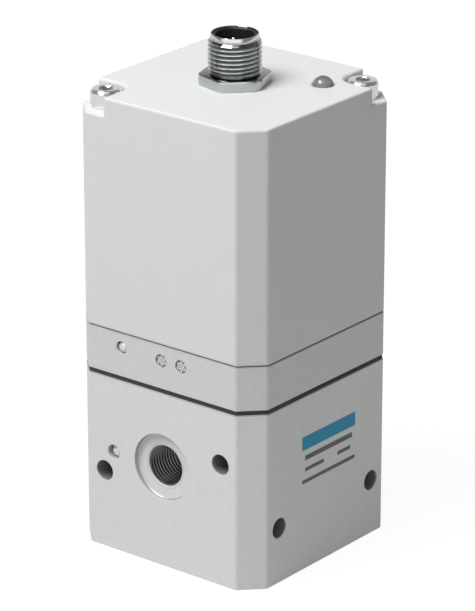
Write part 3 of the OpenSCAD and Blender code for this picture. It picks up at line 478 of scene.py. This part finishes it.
def lathe(name, points, steps=LARGE_ROUND, lift=0):
    """Spins a closed outline, in millimetres, once round the Z axis."""
    piece = outline(name, points, lift)
    bpy.ops.object.mode_set(mode="EDIT")
    bpy.ops.mesh.select_all(action="SELECT")
    bpy.ops.mesh.spin(steps=steps, angle=TURN, center=(0, 0, 0), axis=(0, 0, 1))
    bpy.ops.mesh.select_all(action="SELECT")
    bpy.ops.mesh.remove_doubles(threshold=WELD)
    bpy.ops.mesh.dissolve_degenerate(threshold=WELD / 2)
    bpy.ops.mesh.normals_make_consistent(inside=False)
    bpy.ops.object.mode_set(mode="OBJECT")
    return piece


def wind(piece, pitch, turns, steps):
    """Sweeps an outline up a helix round the Z axis and closes its ends."""
    choose(piece)
    screw = piece.modifiers.new("helix", "SCREW")
    screw.axis = "Z"
    screw.angle = TURN
    screw.screw_offset = pitch
    screw.iterations = turns
    screw.steps = steps
    screw.render_steps = steps
    screw.use_merge_vertices = False
    bpy.ops.object.modifier_apply(modifier=screw.name)
    bpy.ops.object.mode_set(mode="EDIT")
    bpy.ops.mesh.select_all(action="SELECT")
    bpy.ops.mesh.fill_holes(sides=0)
    bpy.ops.mesh.select_all(action="SELECT")
    bpy.ops.mesh.normals_make_consistent(inside=False)
    bpy.ops.object.mode_set(mode="OBJECT")


def combine(piece, tool, operation):
    """Cuts or trims a piece by another with an exact Boolean, and removes the other."""
    choose(piece)
    boolean = piece.modifiers.new("cut", "BOOLEAN")
    boolean.operation = operation
    boolean.solver = "EXACT"
    boolean.object = tool
    bpy.ops.object.modifier_apply(modifier=boolean.name)
    bpy.data.objects.remove(tool, do_unlink=True)


def ridge(lower):
    """Closes the outline of a thread's ridge: its lower half to the crest, and that mirrored."""
    return lower + [(x, -z) for x, z in reversed(lower[:-1])]


def thread(name, points, lift, pitch, turns, trim):
    """Sweeps a ridge up a helix, in millimetres, and trims it to a turned solid."""
    piece = outline(name, points, lift)
    wind(piece, pitch * MM, turns, THREAD_ROUND)
    combine(piece, trim, "INTERSECT")
    return piece


def join(piece, others):
    """Joins other objects into one piece."""
    choose(piece)
    for other in others:
        other.select_set(True)
    bpy.ops.object.join()
    return piece


def hand_over(piece, material, replaced=(), angle=32, body="housing"):
    """Finishes a piece: place in the mesh, shading, material and body."""
    settle(piece)
    bpy.ops.object.shade_smooth_by_angle(angle=math.radians(angle))
    piece.data.materials.clear()
    piece.data.materials.append(material)
    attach(piece, body)
    if replaced:
        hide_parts(*replaced)


# Finishes by name, made by the first step
FINISHES = {}


class REGULATOR_OT_finishes(bpy.types.Operator):
    """Makes the finishes and gives them to the solids"""

    bl_idname = "regulator.finishes"
    bl_label = "Finish the solids"

    def execute(self, context):
        colours = context.scene.regulator_colours
        FINISHES.update(
            body=bored_aluminium("blasted_body", tuple(colours.aluminium),
                                 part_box("valve_body")[1][2], 0.5),
            plate=blasted_aluminium("blasted_plate", shades(colours.aluminium, 0.92, 1)[0][:3],
                                    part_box("pilot_plate")[1][2], 0.62),
            cover=moulded_cover(tuple(colours.cover)),
            rubber=nitrile_rubber(tuple(colours.rubber)),
            nickel=plated_metal("nickel_plated_brass", "d9dbdb", 0.05, 4 * MM),
            zinc=plated_metal("zinc_plated_steel", "eaebeb", 0.14, 2 * MM, 0.9),
            body_ball=pressed_ball("body_ball_plug", 0.7),
            plate_ball=pressed_ball("plate_ball_plug", 0.25),
            spring=plated_metal("spring_steel", "b9bbbd", 0.28, 1 * MM),
            gold=plated_metal("gold_plated_brass", "f2ecd8", 0.25, 1 * MM),
            brass=turned_metal("turned_brass", "c9a85c", 0.26, "Z", 0.25 * MM),
            turned=turned_metal("turned_aluminium", "c8c9cb", 0.3, "Z", 0.25 * MM),
            steel=turned_metal("turned_steel", "aeb0b3", 0.28, "Z", 0.25 * MM),
            # The port threads' dark grey is painted shade for the deep inside of the ports
            tapped=turned_metal("shaded_tapped_aluminium", "636566", 0.25, "Y", 0.2 * MM),
            black=dull_plastic("black_polyamide", "101112", 0.55, 0.3 * MM),
            coil=dull_plastic("coil_encapsulation", "26282c", 0.45, 0.3 * MM),
            board=dull_plastic("board_laminate", "1d6b42", 0.35, 0.5 * MM),
            grains=sintered_metal(),
            lamp=smoked_epoxy(),
            cup=dull_plastic("lamp_cup", "a2a4a3", 0.35, 0.3 * MM),
            blue=printed_ink("pad_print_blue", tuple(colours.print_blue)),
            grey=printed_ink("pad_print_grey", tuple(colours.print_grey)),
        )
        wear = {
            "body": ["valve_body"],
            "plate": ["pilot_plate"],
            "cover": ["top_cover"],
            "rubber": ["diaphragm", "cover_gasket", "poppet_o_ring", "poppet_seal",
                       "sleeve_o_rings", "relief_pad", "connector_seal", "sensor_seal",
                       "pilot_valve_seals"],
            "nickel": ["connector_shell", "connector_locknut"],
            "zinc": ["long_screws", "short_screws", "board_screws", "pilot_valve_screws",
                     "diaphragm_nut", "led_leads"],
            "body_ball": ["body_ball_plug"],
            "plate_ball": ["plate_ball_plug"],
            "spring": ["poppet_spring", "fill_spring", "vent_spring", "retaining_ring"],
            "gold": ["connector_pins"],
            "brass": ["poppet_guide", "poppet", "stem_guide"],
            "turned": ["valve_sleeve", "diaphragm_stem", "diaphragm_washer"],
            "steel": ["fill_plunger", "vent_plunger", "pressure_sensor"],
            "black": ["connector_insert", "board_components", "fill_valve_base",
                      "vent_valve_base"],
            "coil": ["fill_valve_coil", "vent_valve_coil"],
            "board": ["circuit_board"],
            "grains": ["breather_discs"],
            "lamp": ["status_led"],
        }
        for finish, names in wear.items():
            for name in names:
                for place in frame["nodes"][name].material_slots:
                    place.material = FINISHES[finish]
        return {"FINISHED"}


class REGULATOR_OT_plug_shell(bpy.types.Operator):
    """Models the plug connector's shell with its hexagon, thread, rim and key nick"""

    bl_idname = "regulator.plug_shell"
    bl_label = "Plug shell"

    def execute(self, context):
        sizes = context.scene.regulator_sizes
        base = node_top("top_cover")
        rim = node_top("connector_shell") - base
        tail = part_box("connector_shell")[0][2] / MM - base
        root, crest = sizes.plug_root / MM, sizes.plug_crest / MM
        pitch = sizes.plug_pitch / MM
        hex_t, relief_r, rim_r, bore_r, tail_bore = 2.4, 5.3, 5.45, 5.12, 4.0
        low, high, ledge = hex_t + 0.6, rim - 1.3, 1.0
        shell = lathe("plug_shell", (
            (tail_bore, tail), (crest, tail), (crest, 0), (relief_r, 0), (relief_r, low),
            (root, low), (root, high), (rim_r - 0.3, high + 0.1), (rim_r - 0.3, high + 0.35),
            (rim_r - 0.05, high + 0.4), (rim_r, high + 0.5), (rim_r - 0.1, rim - 0.14),
            (rim_r - 0.13, rim - 0.04), (rim_r - 0.18, rim), (bore_r + 0.05, rim),
            (bore_r, rim - 0.06), (bore_r, ledge), (tail_bore, ledge)))
        flank = pitch * 0.49
        points = ridge([(root - 0.08, -flank), (root, -flank), (crest - 0.12, -0.15),
                        (crest - 0.03, -0.1), (crest, 0)])
        turns = int((high - low) / pitch) + 3
        # The first turn is cut off flat, and the last runs out under a lead-in
        lead_in = lathe("lead_in", (
            (0, low), (crest + 0.1, low), (crest + 0.1, high - (crest - root)),
            (root + 0.1, high), (0, high)))
        helix = thread("plug_thread", points, low - pitch, pitch, turns, lead_in)
        combine(shell, self.nick(rim), "DIFFERENCE")
        join(shell, [self.hexagon(hex_t), helix])
        shell.location.z = base * MM
        FINISHES["plug"] = plug_nickel(base * MM, (hex_t - 0.05) * MM, high * MM,
                                       (root + 0.2) * MM, (crest - 0.07) * MM)
        hand_over(shell, FINISHES["plug"], ["connector_shell"])
        # A black sleeve lines the bore: partly the contact carrier, partly a dark sheet that
        # paints the shade inside the bore
        liner = lathe("plug_liner", (
            (bore_r - 0.8, hex_t), (bore_r - 0.04, hex_t), (bore_r - 0.04, rim - 0.3),
            (bore_r - 0.16, rim - 0.2), (bore_r - 0.5, rim - 0.2), (bore_r - 0.8, rim - 0.5)))
        liner.location.z = base * MM
        hand_over(liner, FINISHES["black"])
        return {"FINISHED"}

    def hexagon(self, thickness):
        """Hexagon with its corners turned off and its edges broken."""
        across, corner, turn, edge = 14.6, 16.1, math.radians(17), 0.16 * MM
        disc = begin(bpy.ops.mesh.primitive_cylinder_add, vertices=LARGE_ROUND,
                     radius=corner / 2 * MM, depth=thickness * MM)
        prism = begin(bpy.ops.mesh.primitive_cylinder_add, vertices=6,
                      radius=across / 2 / math.cos(math.pi / 6) * MM, depth=2 * thickness * MM,
                      rotation=(0, 0, turn))
        combine(disc, prism, "INTERSECT")
        choose(disc)
        bevel = disc.modifiers.new("edge", "BEVEL")
        bevel.width = edge
        bevel.segments = 2
        bevel.limit_method = "ANGLE"
        bevel.angle_limit = math.radians(50)
        bpy.ops.object.modifier_apply(modifier=bevel.name)
        disc.location.z = thickness / 2 * MM
        settle(disc)
        return disc

    def nick(self, rim):
        """Block that cuts the key nick into the rim."""
        turn, middle = math.radians(104), 5 * MM
        inward, across, upright = 2 * MM, 1.3 * MM, 1.1 * MM
        return begin(bpy.ops.mesh.primitive_cube_add, size=1,
                     location=(math.cos(turn) * middle, math.sin(turn) * middle, rim * MM),
                     rotation=(0, 0, turn), scale=(inward, across, upright))


class REGULATOR_OT_port_threads(bpy.types.Operator):
    """Models the thread inside each of the three air ports"""

    bl_idname = "regulator.port_threads"
    bl_label = "Port threads"

    def execute(self, context):
        sizes = context.scene.regulator_sizes
        root, crest = sizes.port_root / MM, sizes.port_crest / MM
        pitch = sizes.port_pitch / MM
        flank = pitch * 0.49
        half_length = 4.5
        points = ridge([(root + 0.05, -flank), (root, -flank), (crest + 0.1, -0.13),
                        (crest + 0.02, -0.08), (crest, 0)])
        turns = int(2 * half_length / pitch) + 4
        inner, outer, mouth = crest - 0.3, root + 0.1, half_length + 0.6
        end, lip_foot = mouth - 0.15, half_length + 0.1
        ring = lathe("trim", ((inner, -half_length), (outer, -half_length), (outer, end),
                              (root, end), (inner, end)))
        first = thread("port_thread", points, -half_length - pitch, pitch, turns, ring)
        # The mouth's edge is only broken, so a lip closes the wide countersink
        lip = lathe("port_lip", (
            (root - 0.1, lip_foot), (root + 0.02, lip_foot), (root + 0.5, mouth),
            (root + 0.06, mouth), (root - 0.05, mouth - 0.05), (root - 0.1, end)))
        for name in ("supply_port", "outlet_port", "exhaust_port"):
            place, axis = mount(name)
            for pattern, ending, finish, slot in (
                    (first, "_thread", "tapped", "turned_aluminium"),
                    (lip, "_lip", "plate", "cast_aluminium")):
                piece = copy_of(pattern, name + ending)
                piece.location = place
                piece.rotation_euler = axis.to_track_quat("Z", "X").to_euler()
                hand_over(piece, FINISHES[finish])
        for pattern in (first, lip):
            bpy.data.objects.remove(pattern, do_unlink=True)
        return {"FINISHED"}


class REGULATOR_OT_clamp_screws(bpy.types.Operator):
    """Models the two long socket screws with turned-off heads and deep hexagons"""

    bl_idname = "regulator.clamp_screws"
    bl_label = "Clamp screws"

    def execute(self, context):
        low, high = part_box("long_screws")
        top, foot = high[2] / MM, low[2] / MM
        head_r, head_h, shank_r, key_r, lead_r = 3.5, 4.0, 2.0, 1.5, 1.8
        key_depth, lead_depth, lead_drop = 2.2, 0.3, 0.14
        key_turn, other_turn = math.radians(20), math.radians(37)
        seat = top - head_h
        screw = lathe("clamp_screw", (
            (0, foot), (shank_r - 0.4, foot), (shank_r, foot + 0.4), (shank_r, seat),
            (head_r - 0.1, seat), (head_r, seat + 0.1), (head_r, top - 0.66),
            (head_r - 0.36, top - 0.1), (head_r - 0.42, top - 0.03), (head_r - 0.5, top),
            (0, top)), MIDDLE_ROUND)
        key = begin(bpy.ops.mesh.primitive_cylinder_add, vertices=6,
                    radius=key_r / math.cos(math.pi / 6) * MM, depth=2 * key_depth * MM,
                    location=(0, 0, top * MM), rotation=(0, 0, key_turn))
        combine(screw, key, "DIFFERENCE")
        lead = begin(bpy.ops.mesh.primitive_cone_add, vertices=SMALL_ROUND, radius1=key_r * MM,
                     radius2=lead_r * MM, depth=lead_depth * MM,
                     location=(0, 0, (top - lead_drop) * MM))
        combine(screw, lead, "DIFFERENCE")
        x, y = high[0] - head_r * MM, high[1] - head_r * MM
        other = copy_of(screw, "other_screw")
        screw.location = (x, y, 0)
        other.location = (-x, -y, 0)
        other.rotation_euler = (0, 0, other_turn)
        settle(screw)
        settle(other)
        join(screw, [other])
        screw.name = "clamp_screws"
        hand_over(screw, FINISHES["zinc"], ["long_screws"], 24)
        return {"FINISHED"}


class REGULATOR_OT_breathers(bpy.types.Operator):
    """Models the two breather discs as beds of sintered grains"""

    bl_idname = "regulator.breathers"
    bl_label = "Breather discs"

    def execute(self, context):
        grain = context.scene.regulator_sizes.grain
        low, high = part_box("breather_discs")
        radius = (high[2] - low[2]) / 2
        level = (low[2] + high[2]) / 2
        ring, bed = 0.1 * MM, grain * 0.4
        disc = begin(bpy.ops.mesh.primitive_cylinder_add, vertices=SMALL_ROUND,
                     radius=radius - ring, depth=high[1] - low[1] - bed,
                     location=(0, (low[1] + high[1] + bed) / 2, level),
                     rotation=(math.pi / 2, 0, 0))
        disc.name = "breather_grains"
        ball = begin(bpy.ops.mesh.primitive_uv_sphere_add, segments=14, ring_count=8,
                     radius=grain / 2)
        face = low[1] + grain / 2
        spots = []
        rows = int(radius / grain) + 1
        for row in range(-rows, rows + 1):
            for step in range(-rows, rows + 1):
                x = (step + (row % 2) / 2) * grain
                z = row * grain * math.sqrt(3) / 2
                if math.hypot(x, z) < radius - ring - bed:
                    spots.append((x, z))
        bpy.ops.object.mode_set(mode="EDIT")
        bpy.ops.mesh.select_all(action="SELECT")
        bpy.ops.transform.translate(value=(spots[0][0], face, level + spots[0][1]))
        for (xa, za), (xb, zb) in zip(spots, spots[1:]):
            bpy.ops.mesh.duplicate_move(TRANSFORM_OT_translate={
                "value": (xb - xa, 0, zb - za)})
        bpy.ops.object.mode_set(mode="OBJECT")
        join(disc, [ball])
        other = copy_of(disc, "other_disc")
        other.location.x = high[0] - radius
        disc.location.x = low[0] + radius
        settle(disc)
        settle(other)
        join(disc, [other])
        hand_over(disc, FINISHES["grains"], ["breather_discs"], 60)
        return {"FINISHED"}


class REGULATOR_OT_diaphragm(bpy.types.Operator):
    """Parts the rubber sheet from its clamped centre, which moves with the stem"""

    bl_idname = "regulator.diaphragm"
    bl_label = "Diaphragm"

    def execute(self, context):
        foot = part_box("diaphragm")[0][2] / MM
        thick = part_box("diaphragm_washer")[0][2] / MM - foot
        clamp_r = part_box("diaphragm_washer")[1][0] / MM + 0.1
        hole_r, edge, parting = 2.6, 0.06, 0.06
        sheet = bpy.data.objects.new("diaphragm_sheet", frame["nodes"]["diaphragm"].data.copy())
        context.scene.collection.objects.link(sheet)
        weld(sheet)
        core = begin(bpy.ops.mesh.primitive_cylinder_add, vertices=LARGE_ROUND,
                     radius=(clamp_r + parting) * MM, depth=6 * thick * MM,
                     location=(0, 0, foot * MM))
        combine(sheet, core, "DIFFERENCE")
        hand_over(sheet, FINISHES["rubber"], ["diaphragm"])
        centre = lathe("diaphragm_centre", (
            (hole_r, 0), (clamp_r - edge, 0), (clamp_r, edge), (clamp_r, thick - edge),
            (clamp_r - edge, thick), (hole_r, thick)), lift=foot)
        hand_over(centre, FINISHES["rubber"], body="relay")
        return {"FINISHED"}


class REGULATOR_OT_springs(bpy.types.Operator):
    """Winds the closing springs."""

    bl_idname = "regulator.springs"
    bl_label = "Springs"

    def execute(self, context):
        # Node, joint, wire and travel in millimetres, turns, and the end that stays still
        for node, joint, wire, travel, turns, fixed in (
                ("poppet_spring", "poppet_stroke", 0.8, 0.8, 4, 0),
                ("fill_spring", "fill_stroke", 0.4, 0.5, 5, 1),
                ("vent_spring", "vent_stroke", 0.4, 0.5, 5, 1)):
            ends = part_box(node)
            low, high = ends
            wire_r = wire / 2 * MM
            length = high[2] - low[2]
            coil = begin(bpy.ops.mesh.primitive_circle_add, vertices=16, radius=wire_r,
                         location=((high[0] - low[0]) / 2 - wire_r, 0, low[2] + wire_r),
                         rotation=(math.pi / 2, 0, 0))
            coil.name = "wound_" + node
            wind(coil, (length - 2 * wire_r) / turns, turns, SPRING_ROUND)
            coil.location = ((low[0] + high[0]) / 2, (low[1] + high[1]) / 2, 0)
            hand_over(coil, FINISHES["spring"], [node])
            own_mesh(coil)
        return {"FINISHED"}


class REGULATOR_OT_lamp_core(bpy.types.Operator):
    """Models the cup inside the status lamp and the bead round its dome"""

    bl_idname = "regulator.lamp_core"
    bl_label = "Lamp core"

    def execute(self, context):
        low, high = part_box("status_led")
        base = node_top("top_cover")
        core = lathe("lamp_core", (
            (0, -2.2), (1.5, -2.2), (1.5, -0.1), (1.35, 0.05), (1.2, 0.05), (0.6, -0.35),
            (0, -0.35)), SMALL_ROUND, base)
        # A thin bead closes the hole round the dome
        bead = lathe("lamp_bead", (
            (2.46, -0.3), (2.59, -0.3), (2.59, -0.01), (2.55, 0), (2.48, -0.01),
            (2.46, -0.04)), SMALL_ROUND, base)
        for piece, finish, slot in (
                (core, "cup", "lamp_plastic"), (bead, "cover", "cover_plastic")):
            piece.location = ((low[0] + high[0]) / 2, (low[1] + high[1]) / 2, 0)
            hand_over(piece, FINISHES[finish])
        return {"FINISHED"}


class REGULATOR_OT_side_print(bpy.types.Operator):
    """Prints plain fields of colour on the side of the valve body"""

    bl_idname = "regulator.side_print"
    bl_label = "Side print"

    def execute(self, context):
        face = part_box("valve_body")[1][0]
        corner, film = 0.2 * MM, 0.008 * MM
        # Middle along the side and up, width and height of each field, in millimetres
        prints = {
            "print_field": ("blue", [(1.0, 30.6, 19.4, 3.3)]),
            "print_bars": ("grey", [(1.0, 27.0, 17.2, 1.2), (-4.2, 24.2, 6.8, 0.9),
                                    (6.6, 24.2, 4.8, 0.9), (1.0, 21.4, 19.4, 0.9)]),
        }
        for name, (ink, fields) in prints.items():
            parts = []
            for y, z, width, height in fields:
                clear_selection()
                bpy.ops.mesh.primitive_plane_add(
                    size=1, location=(face, y * MM, z * MM), rotation=(0, math.pi / 2, 0))
                bpy.ops.transform.resize(value=(1, width * MM, height * MM))
                field = bpy.context.object
                settle(field)
                bpy.ops.object.mode_set(mode="EDIT")
                bpy.ops.mesh.select_all(action="SELECT")
                bpy.ops.mesh.bevel(offset=corner, segments=3, affect="VERTICES")
                bpy.ops.mesh.select_all(action="SELECT")
                bpy.ops.mesh.extrude_region_move(
                    TRANSFORM_OT_translate={"value": (film, 0, 0)})
                bpy.ops.mesh.select_all(action="SELECT")
                bpy.ops.mesh.normals_make_consistent(inside=False)
                bpy.ops.object.mode_set(mode="OBJECT")
                parts.append(field)
            piece = join(parts[0], parts[1:])
            piece.name = name
            hand_over(piece, FINISHES[ink])
        return {"FINISHED"}


def soft_light(name, place, aim, size, level):
    """Adds a square soft box that shows a white surface at the aim at the given level."""
    way = Vector(aim) - Vector(place)
    data = bpy.data.lights.new(name, "AREA")
    data.shape = "SQUARE"
    data.size = size
    data.energy = level * math.pi ** 2 * way.length ** 2
    lamp = bpy.data.objects.new(name, data)
    lamp.location = place
    lamp.rotation_euler = way.to_track_quat("-Z", "Y").to_euler()
    bpy.context.scene.collection.objects.link(lamp)


def facing(tree, way, wall):
    """1 toward one wall of the studio, falling to 0 away from it."""
    edge, full = 0.56, 0.78
    flat = put(tree, "ShaderNodeVectorMath", {0: way, 1: (1, 1, 0)}, operation="MULTIPLY")
    unit = put(tree, "ShaderNodeVectorMath", {0: flat.outputs["Vector"]}, operation="NORMALIZE")
    near = put(tree, "ShaderNodeVectorMath", {0: unit.outputs["Vector"], 1: wall},
               operation="DOT_PRODUCT")
    return put(tree, "ShaderNodeMapRange", {
        "Value": near.outputs["Value"], "From Min": edge, "From Max": full}).outputs["Result"]


class REGULATOR_OT_stage(bpy.types.Operator):
    """Sets the floor, the soft light, the pale surroundings and the camera"""

    bl_idname = "regulator.stage"
    bl_label = "Stage"

    def execute(self, context):
        scene = context.scene
        scene.view_settings.view_transform = "Standard"
        self.floor()
        self.surroundings(scene)
        box_place, box_aim, box_size, box_level = (-0.21, -0.61, 1.16), (0, 0, 0.055), 0.7, 1.16
        soft_light("key_box", box_place, box_aim, box_size, box_level)
        self.camera(scene)
        return {"FINISHED"}

    def floor(self):
        """Pale sheet that keeps a soft shadow under the object."""
        sheet = begin(bpy.ops.mesh.primitive_plane_add, size=12)
        sheet.name = "studio_sheet"
        material, tree, shader, place = new_finish("white_paper", linear("b5b5b5"), 0, 0.9)
        # For the camera and through glass, a share of the paper is white and the rest keeps the
        # shadow. Mirrors see it a little darker, and brightest before the left wall
        white_share, white_level, mirror_level, before_wall = 0.8, 1.16, 0.78, 0.05
        path = put(tree, "ShaderNodeLightPath").outputs
        mirrored = put(tree, "ShaderNodeMath", {
            0: facing(tree, place, LEFT_WALL), 1: before_wall, 2: mirror_level},
            operation="MULTIPLY_ADD").outputs[0]
        strength = put(tree, "ShaderNodeMix", {
            "Factor": path["Is Glossy Ray"], "A": white_level, "B": mirrored}, data_type="FLOAT")
        glow = put(tree, "ShaderNodeEmission", {
            "Color": (1, 1, 1, 1), "Strength": strength.outputs["Result"]})
        seen = put(tree, "ShaderNodeMath", {
            0: path["Is Camera Ray"], 1: path["Is Transmission Ray"]}, operation="MAXIMUM")
        white = put(tree, "ShaderNodeMath", {0: seen.outputs[0], 1: white_share},
                    operation="MULTIPLY")
        share = put(tree, "ShaderNodeMath", {0: white.outputs[0], 1: path["Is Glossy Ray"]},
                    operation="MAXIMUM")
        mix = put(tree, "ShaderNodeMixShader", {
            0: share.outputs[0], 1: shader.outputs["BSDF"], 2: glow.outputs["Emission"]})
        tree.links.new(mix.outputs["Shader"], tree.nodes["Material Output"].inputs["Surface"])
        sheet.data.materials.append(material)

    def surroundings(self, scene):
        """White behind the object, and a grey room that lights it from the sides."""
        world = bpy.data.worlds.new("studio_room")
        scene.world = world
        world.use_nodes = True
        tree = world.node_tree
        room = tree.nodes["Background"]
        way = put(tree, "ShaderNodeTexCoord").outputs["Generated"]
        height = put(tree, "ShaderNodeSeparateXYZ", {"Vector": way}).outputs["Z"]
        # Two heights, as the sine of the angle over the floor, and the strength at each
        soft, grey, left, back, overhead = [put(tree, "ShaderNodeMapRange", {
            "Value": height, "From Min": start, "From Max": end, "To Min": first, "To Max": last,
        }).outputs["Result"] for start, end, first, last in (
            (0.0, 1.0, 0.275, 0.42), (0.3, 0.9, 0.25, 0.09), (0.45, 0.6, 0.95, 0.0),
            (0.4, 0.55, 0.42, 0.0), (0.76, 0.8, 0.0, 0.8))]
        # Mirrors see a grey room with two bright walls and a box overhead
        mirrored = grey
        for wall, level in ((LEFT_WALL, left), (BACK_WALL, back), (LEFT_WALL, overhead)):
            mirrored = put(tree, "ShaderNodeMath", {
                0: facing(tree, way, wall), 1: level, 2: mirrored},
                operation="MULTIPLY_ADD").outputs[0]
        path = put(tree, "ShaderNodeLightPath").outputs
        strength = put(tree, "ShaderNodeMix", {
            "Factor": path["Is Glossy Ray"], "A": soft, "B": mirrored}, data_type="FLOAT")
        tree.links.new(strength.outputs["Result"], room.inputs["Strength"])
        room.inputs["Color"].default_value = (1, 1, 1, 1)
        white = put(tree, "ShaderNodeBackground", {"Color": (1, 1, 1, 1), "Strength": 1.0})
        seen = put(tree, "ShaderNodeMath", {
            0: path["Is Camera Ray"], 1: path["Is Transmission Ray"]}, operation="MAXIMUM")
        mix = put(tree, "ShaderNodeMixShader", {
            0: seen.outputs[0], 1: room.outputs["Background"], 2: white.outputs["Background"]})
        tree.links.new(mix.outputs["Shader"], tree.nodes["World Output"].inputs["Surface"])

    def camera(self, scene):
        """Camera at the photograph's height, turn and distance."""
        place = Vector((487.21, -607.85, 356.17)) * MM
        target = Vector((0, 0, 53.5)) * MM
        to_right, upward = 0.574 * MM, 1.063 * MM
        data = bpy.data.cameras.new("camera")
        data.sensor_width = 36
        data.lens = 219.56
        data.clip_start = 0.05
        data.clip_end = 50
        eye = bpy.data.objects.new("camera", data)
        scene.collection.objects.link(eye)
        ahead = (target - place).normalized()
        right = ahead.cross(Vector((0, 0, 1))).normalized()
        aim = target + right * to_right + right.cross(ahead) * upward
        eye.location = place
        eye.rotation_euler = (aim - place).to_track_quat("-Z", "Y").to_euler()
        scene.camera = eye


class REGULATOR_PT_panel(bpy.types.Panel):
    """Lists the steps that dress the regulator"""

    bl_idname = "REGULATOR_PT_panel"
    bl_label = "Regulator"
    bl_space_type = "VIEW_3D"
    bl_region_type = "UI"
    bl_category = "Regulator"

    def draw(self, context):
        column = self.layout.column()
        for step in STEPS:
            column.operator(step.bl_idname)
        for group in (context.scene.regulator_sizes, context.scene.regulator_colours):
            for name in group.__annotations__:
                column.prop(group, name)


STEPS = (
    REGULATOR_OT_finishes,
    REGULATOR_OT_plug_shell,
    REGULATOR_OT_port_threads,
    REGULATOR_OT_clamp_screws,
    REGULATOR_OT_breathers,
    REGULATOR_OT_diaphragm,
    REGULATOR_OT_springs,
    REGULATOR_OT_lamp_core,
    REGULATOR_OT_side_print,
    REGULATOR_OT_stage,
)
CLASSES = (RegulatorSizes, RegulatorColours, *STEPS, REGULATOR_PT_panel)


def register():
    """Registers the classes and hangs the properties on the scene."""
    for kind in CLASSES:
        bpy.utils.register_class(kind)
    bpy.types.Scene.regulator_sizes = bpy.props.PointerProperty(type=RegulatorSizes)
    bpy.types.Scene.regulator_colours = bpy.props.PointerProperty(type=RegulatorColours)


def unregister():
    """Takes the properties and classes away again."""
    del bpy.types.Scene.regulator_colours
    del bpy.types.Scene.regulator_sizes
    for kind in reversed(CLASSES):
        bpy.utils.unregister_class(kind)


def main():
    """Dresses the regulator step by step."""
    register()
    bpy.ops.regulator.finishes()
    bpy.ops.regulator.plug_shell()
    bpy.ops.regulator.port_threads()
    bpy.ops.regulator.clamp_screws()
    bpy.ops.regulator.breathers()
    bpy.ops.regulator.diaphragm()
    bpy.ops.regulator.springs()
    bpy.ops.regulator.lamp_core()
    bpy.ops.regulator.side_print()
    bpy.ops.regulator.stage()


if __name__ == "__main__":
    main()
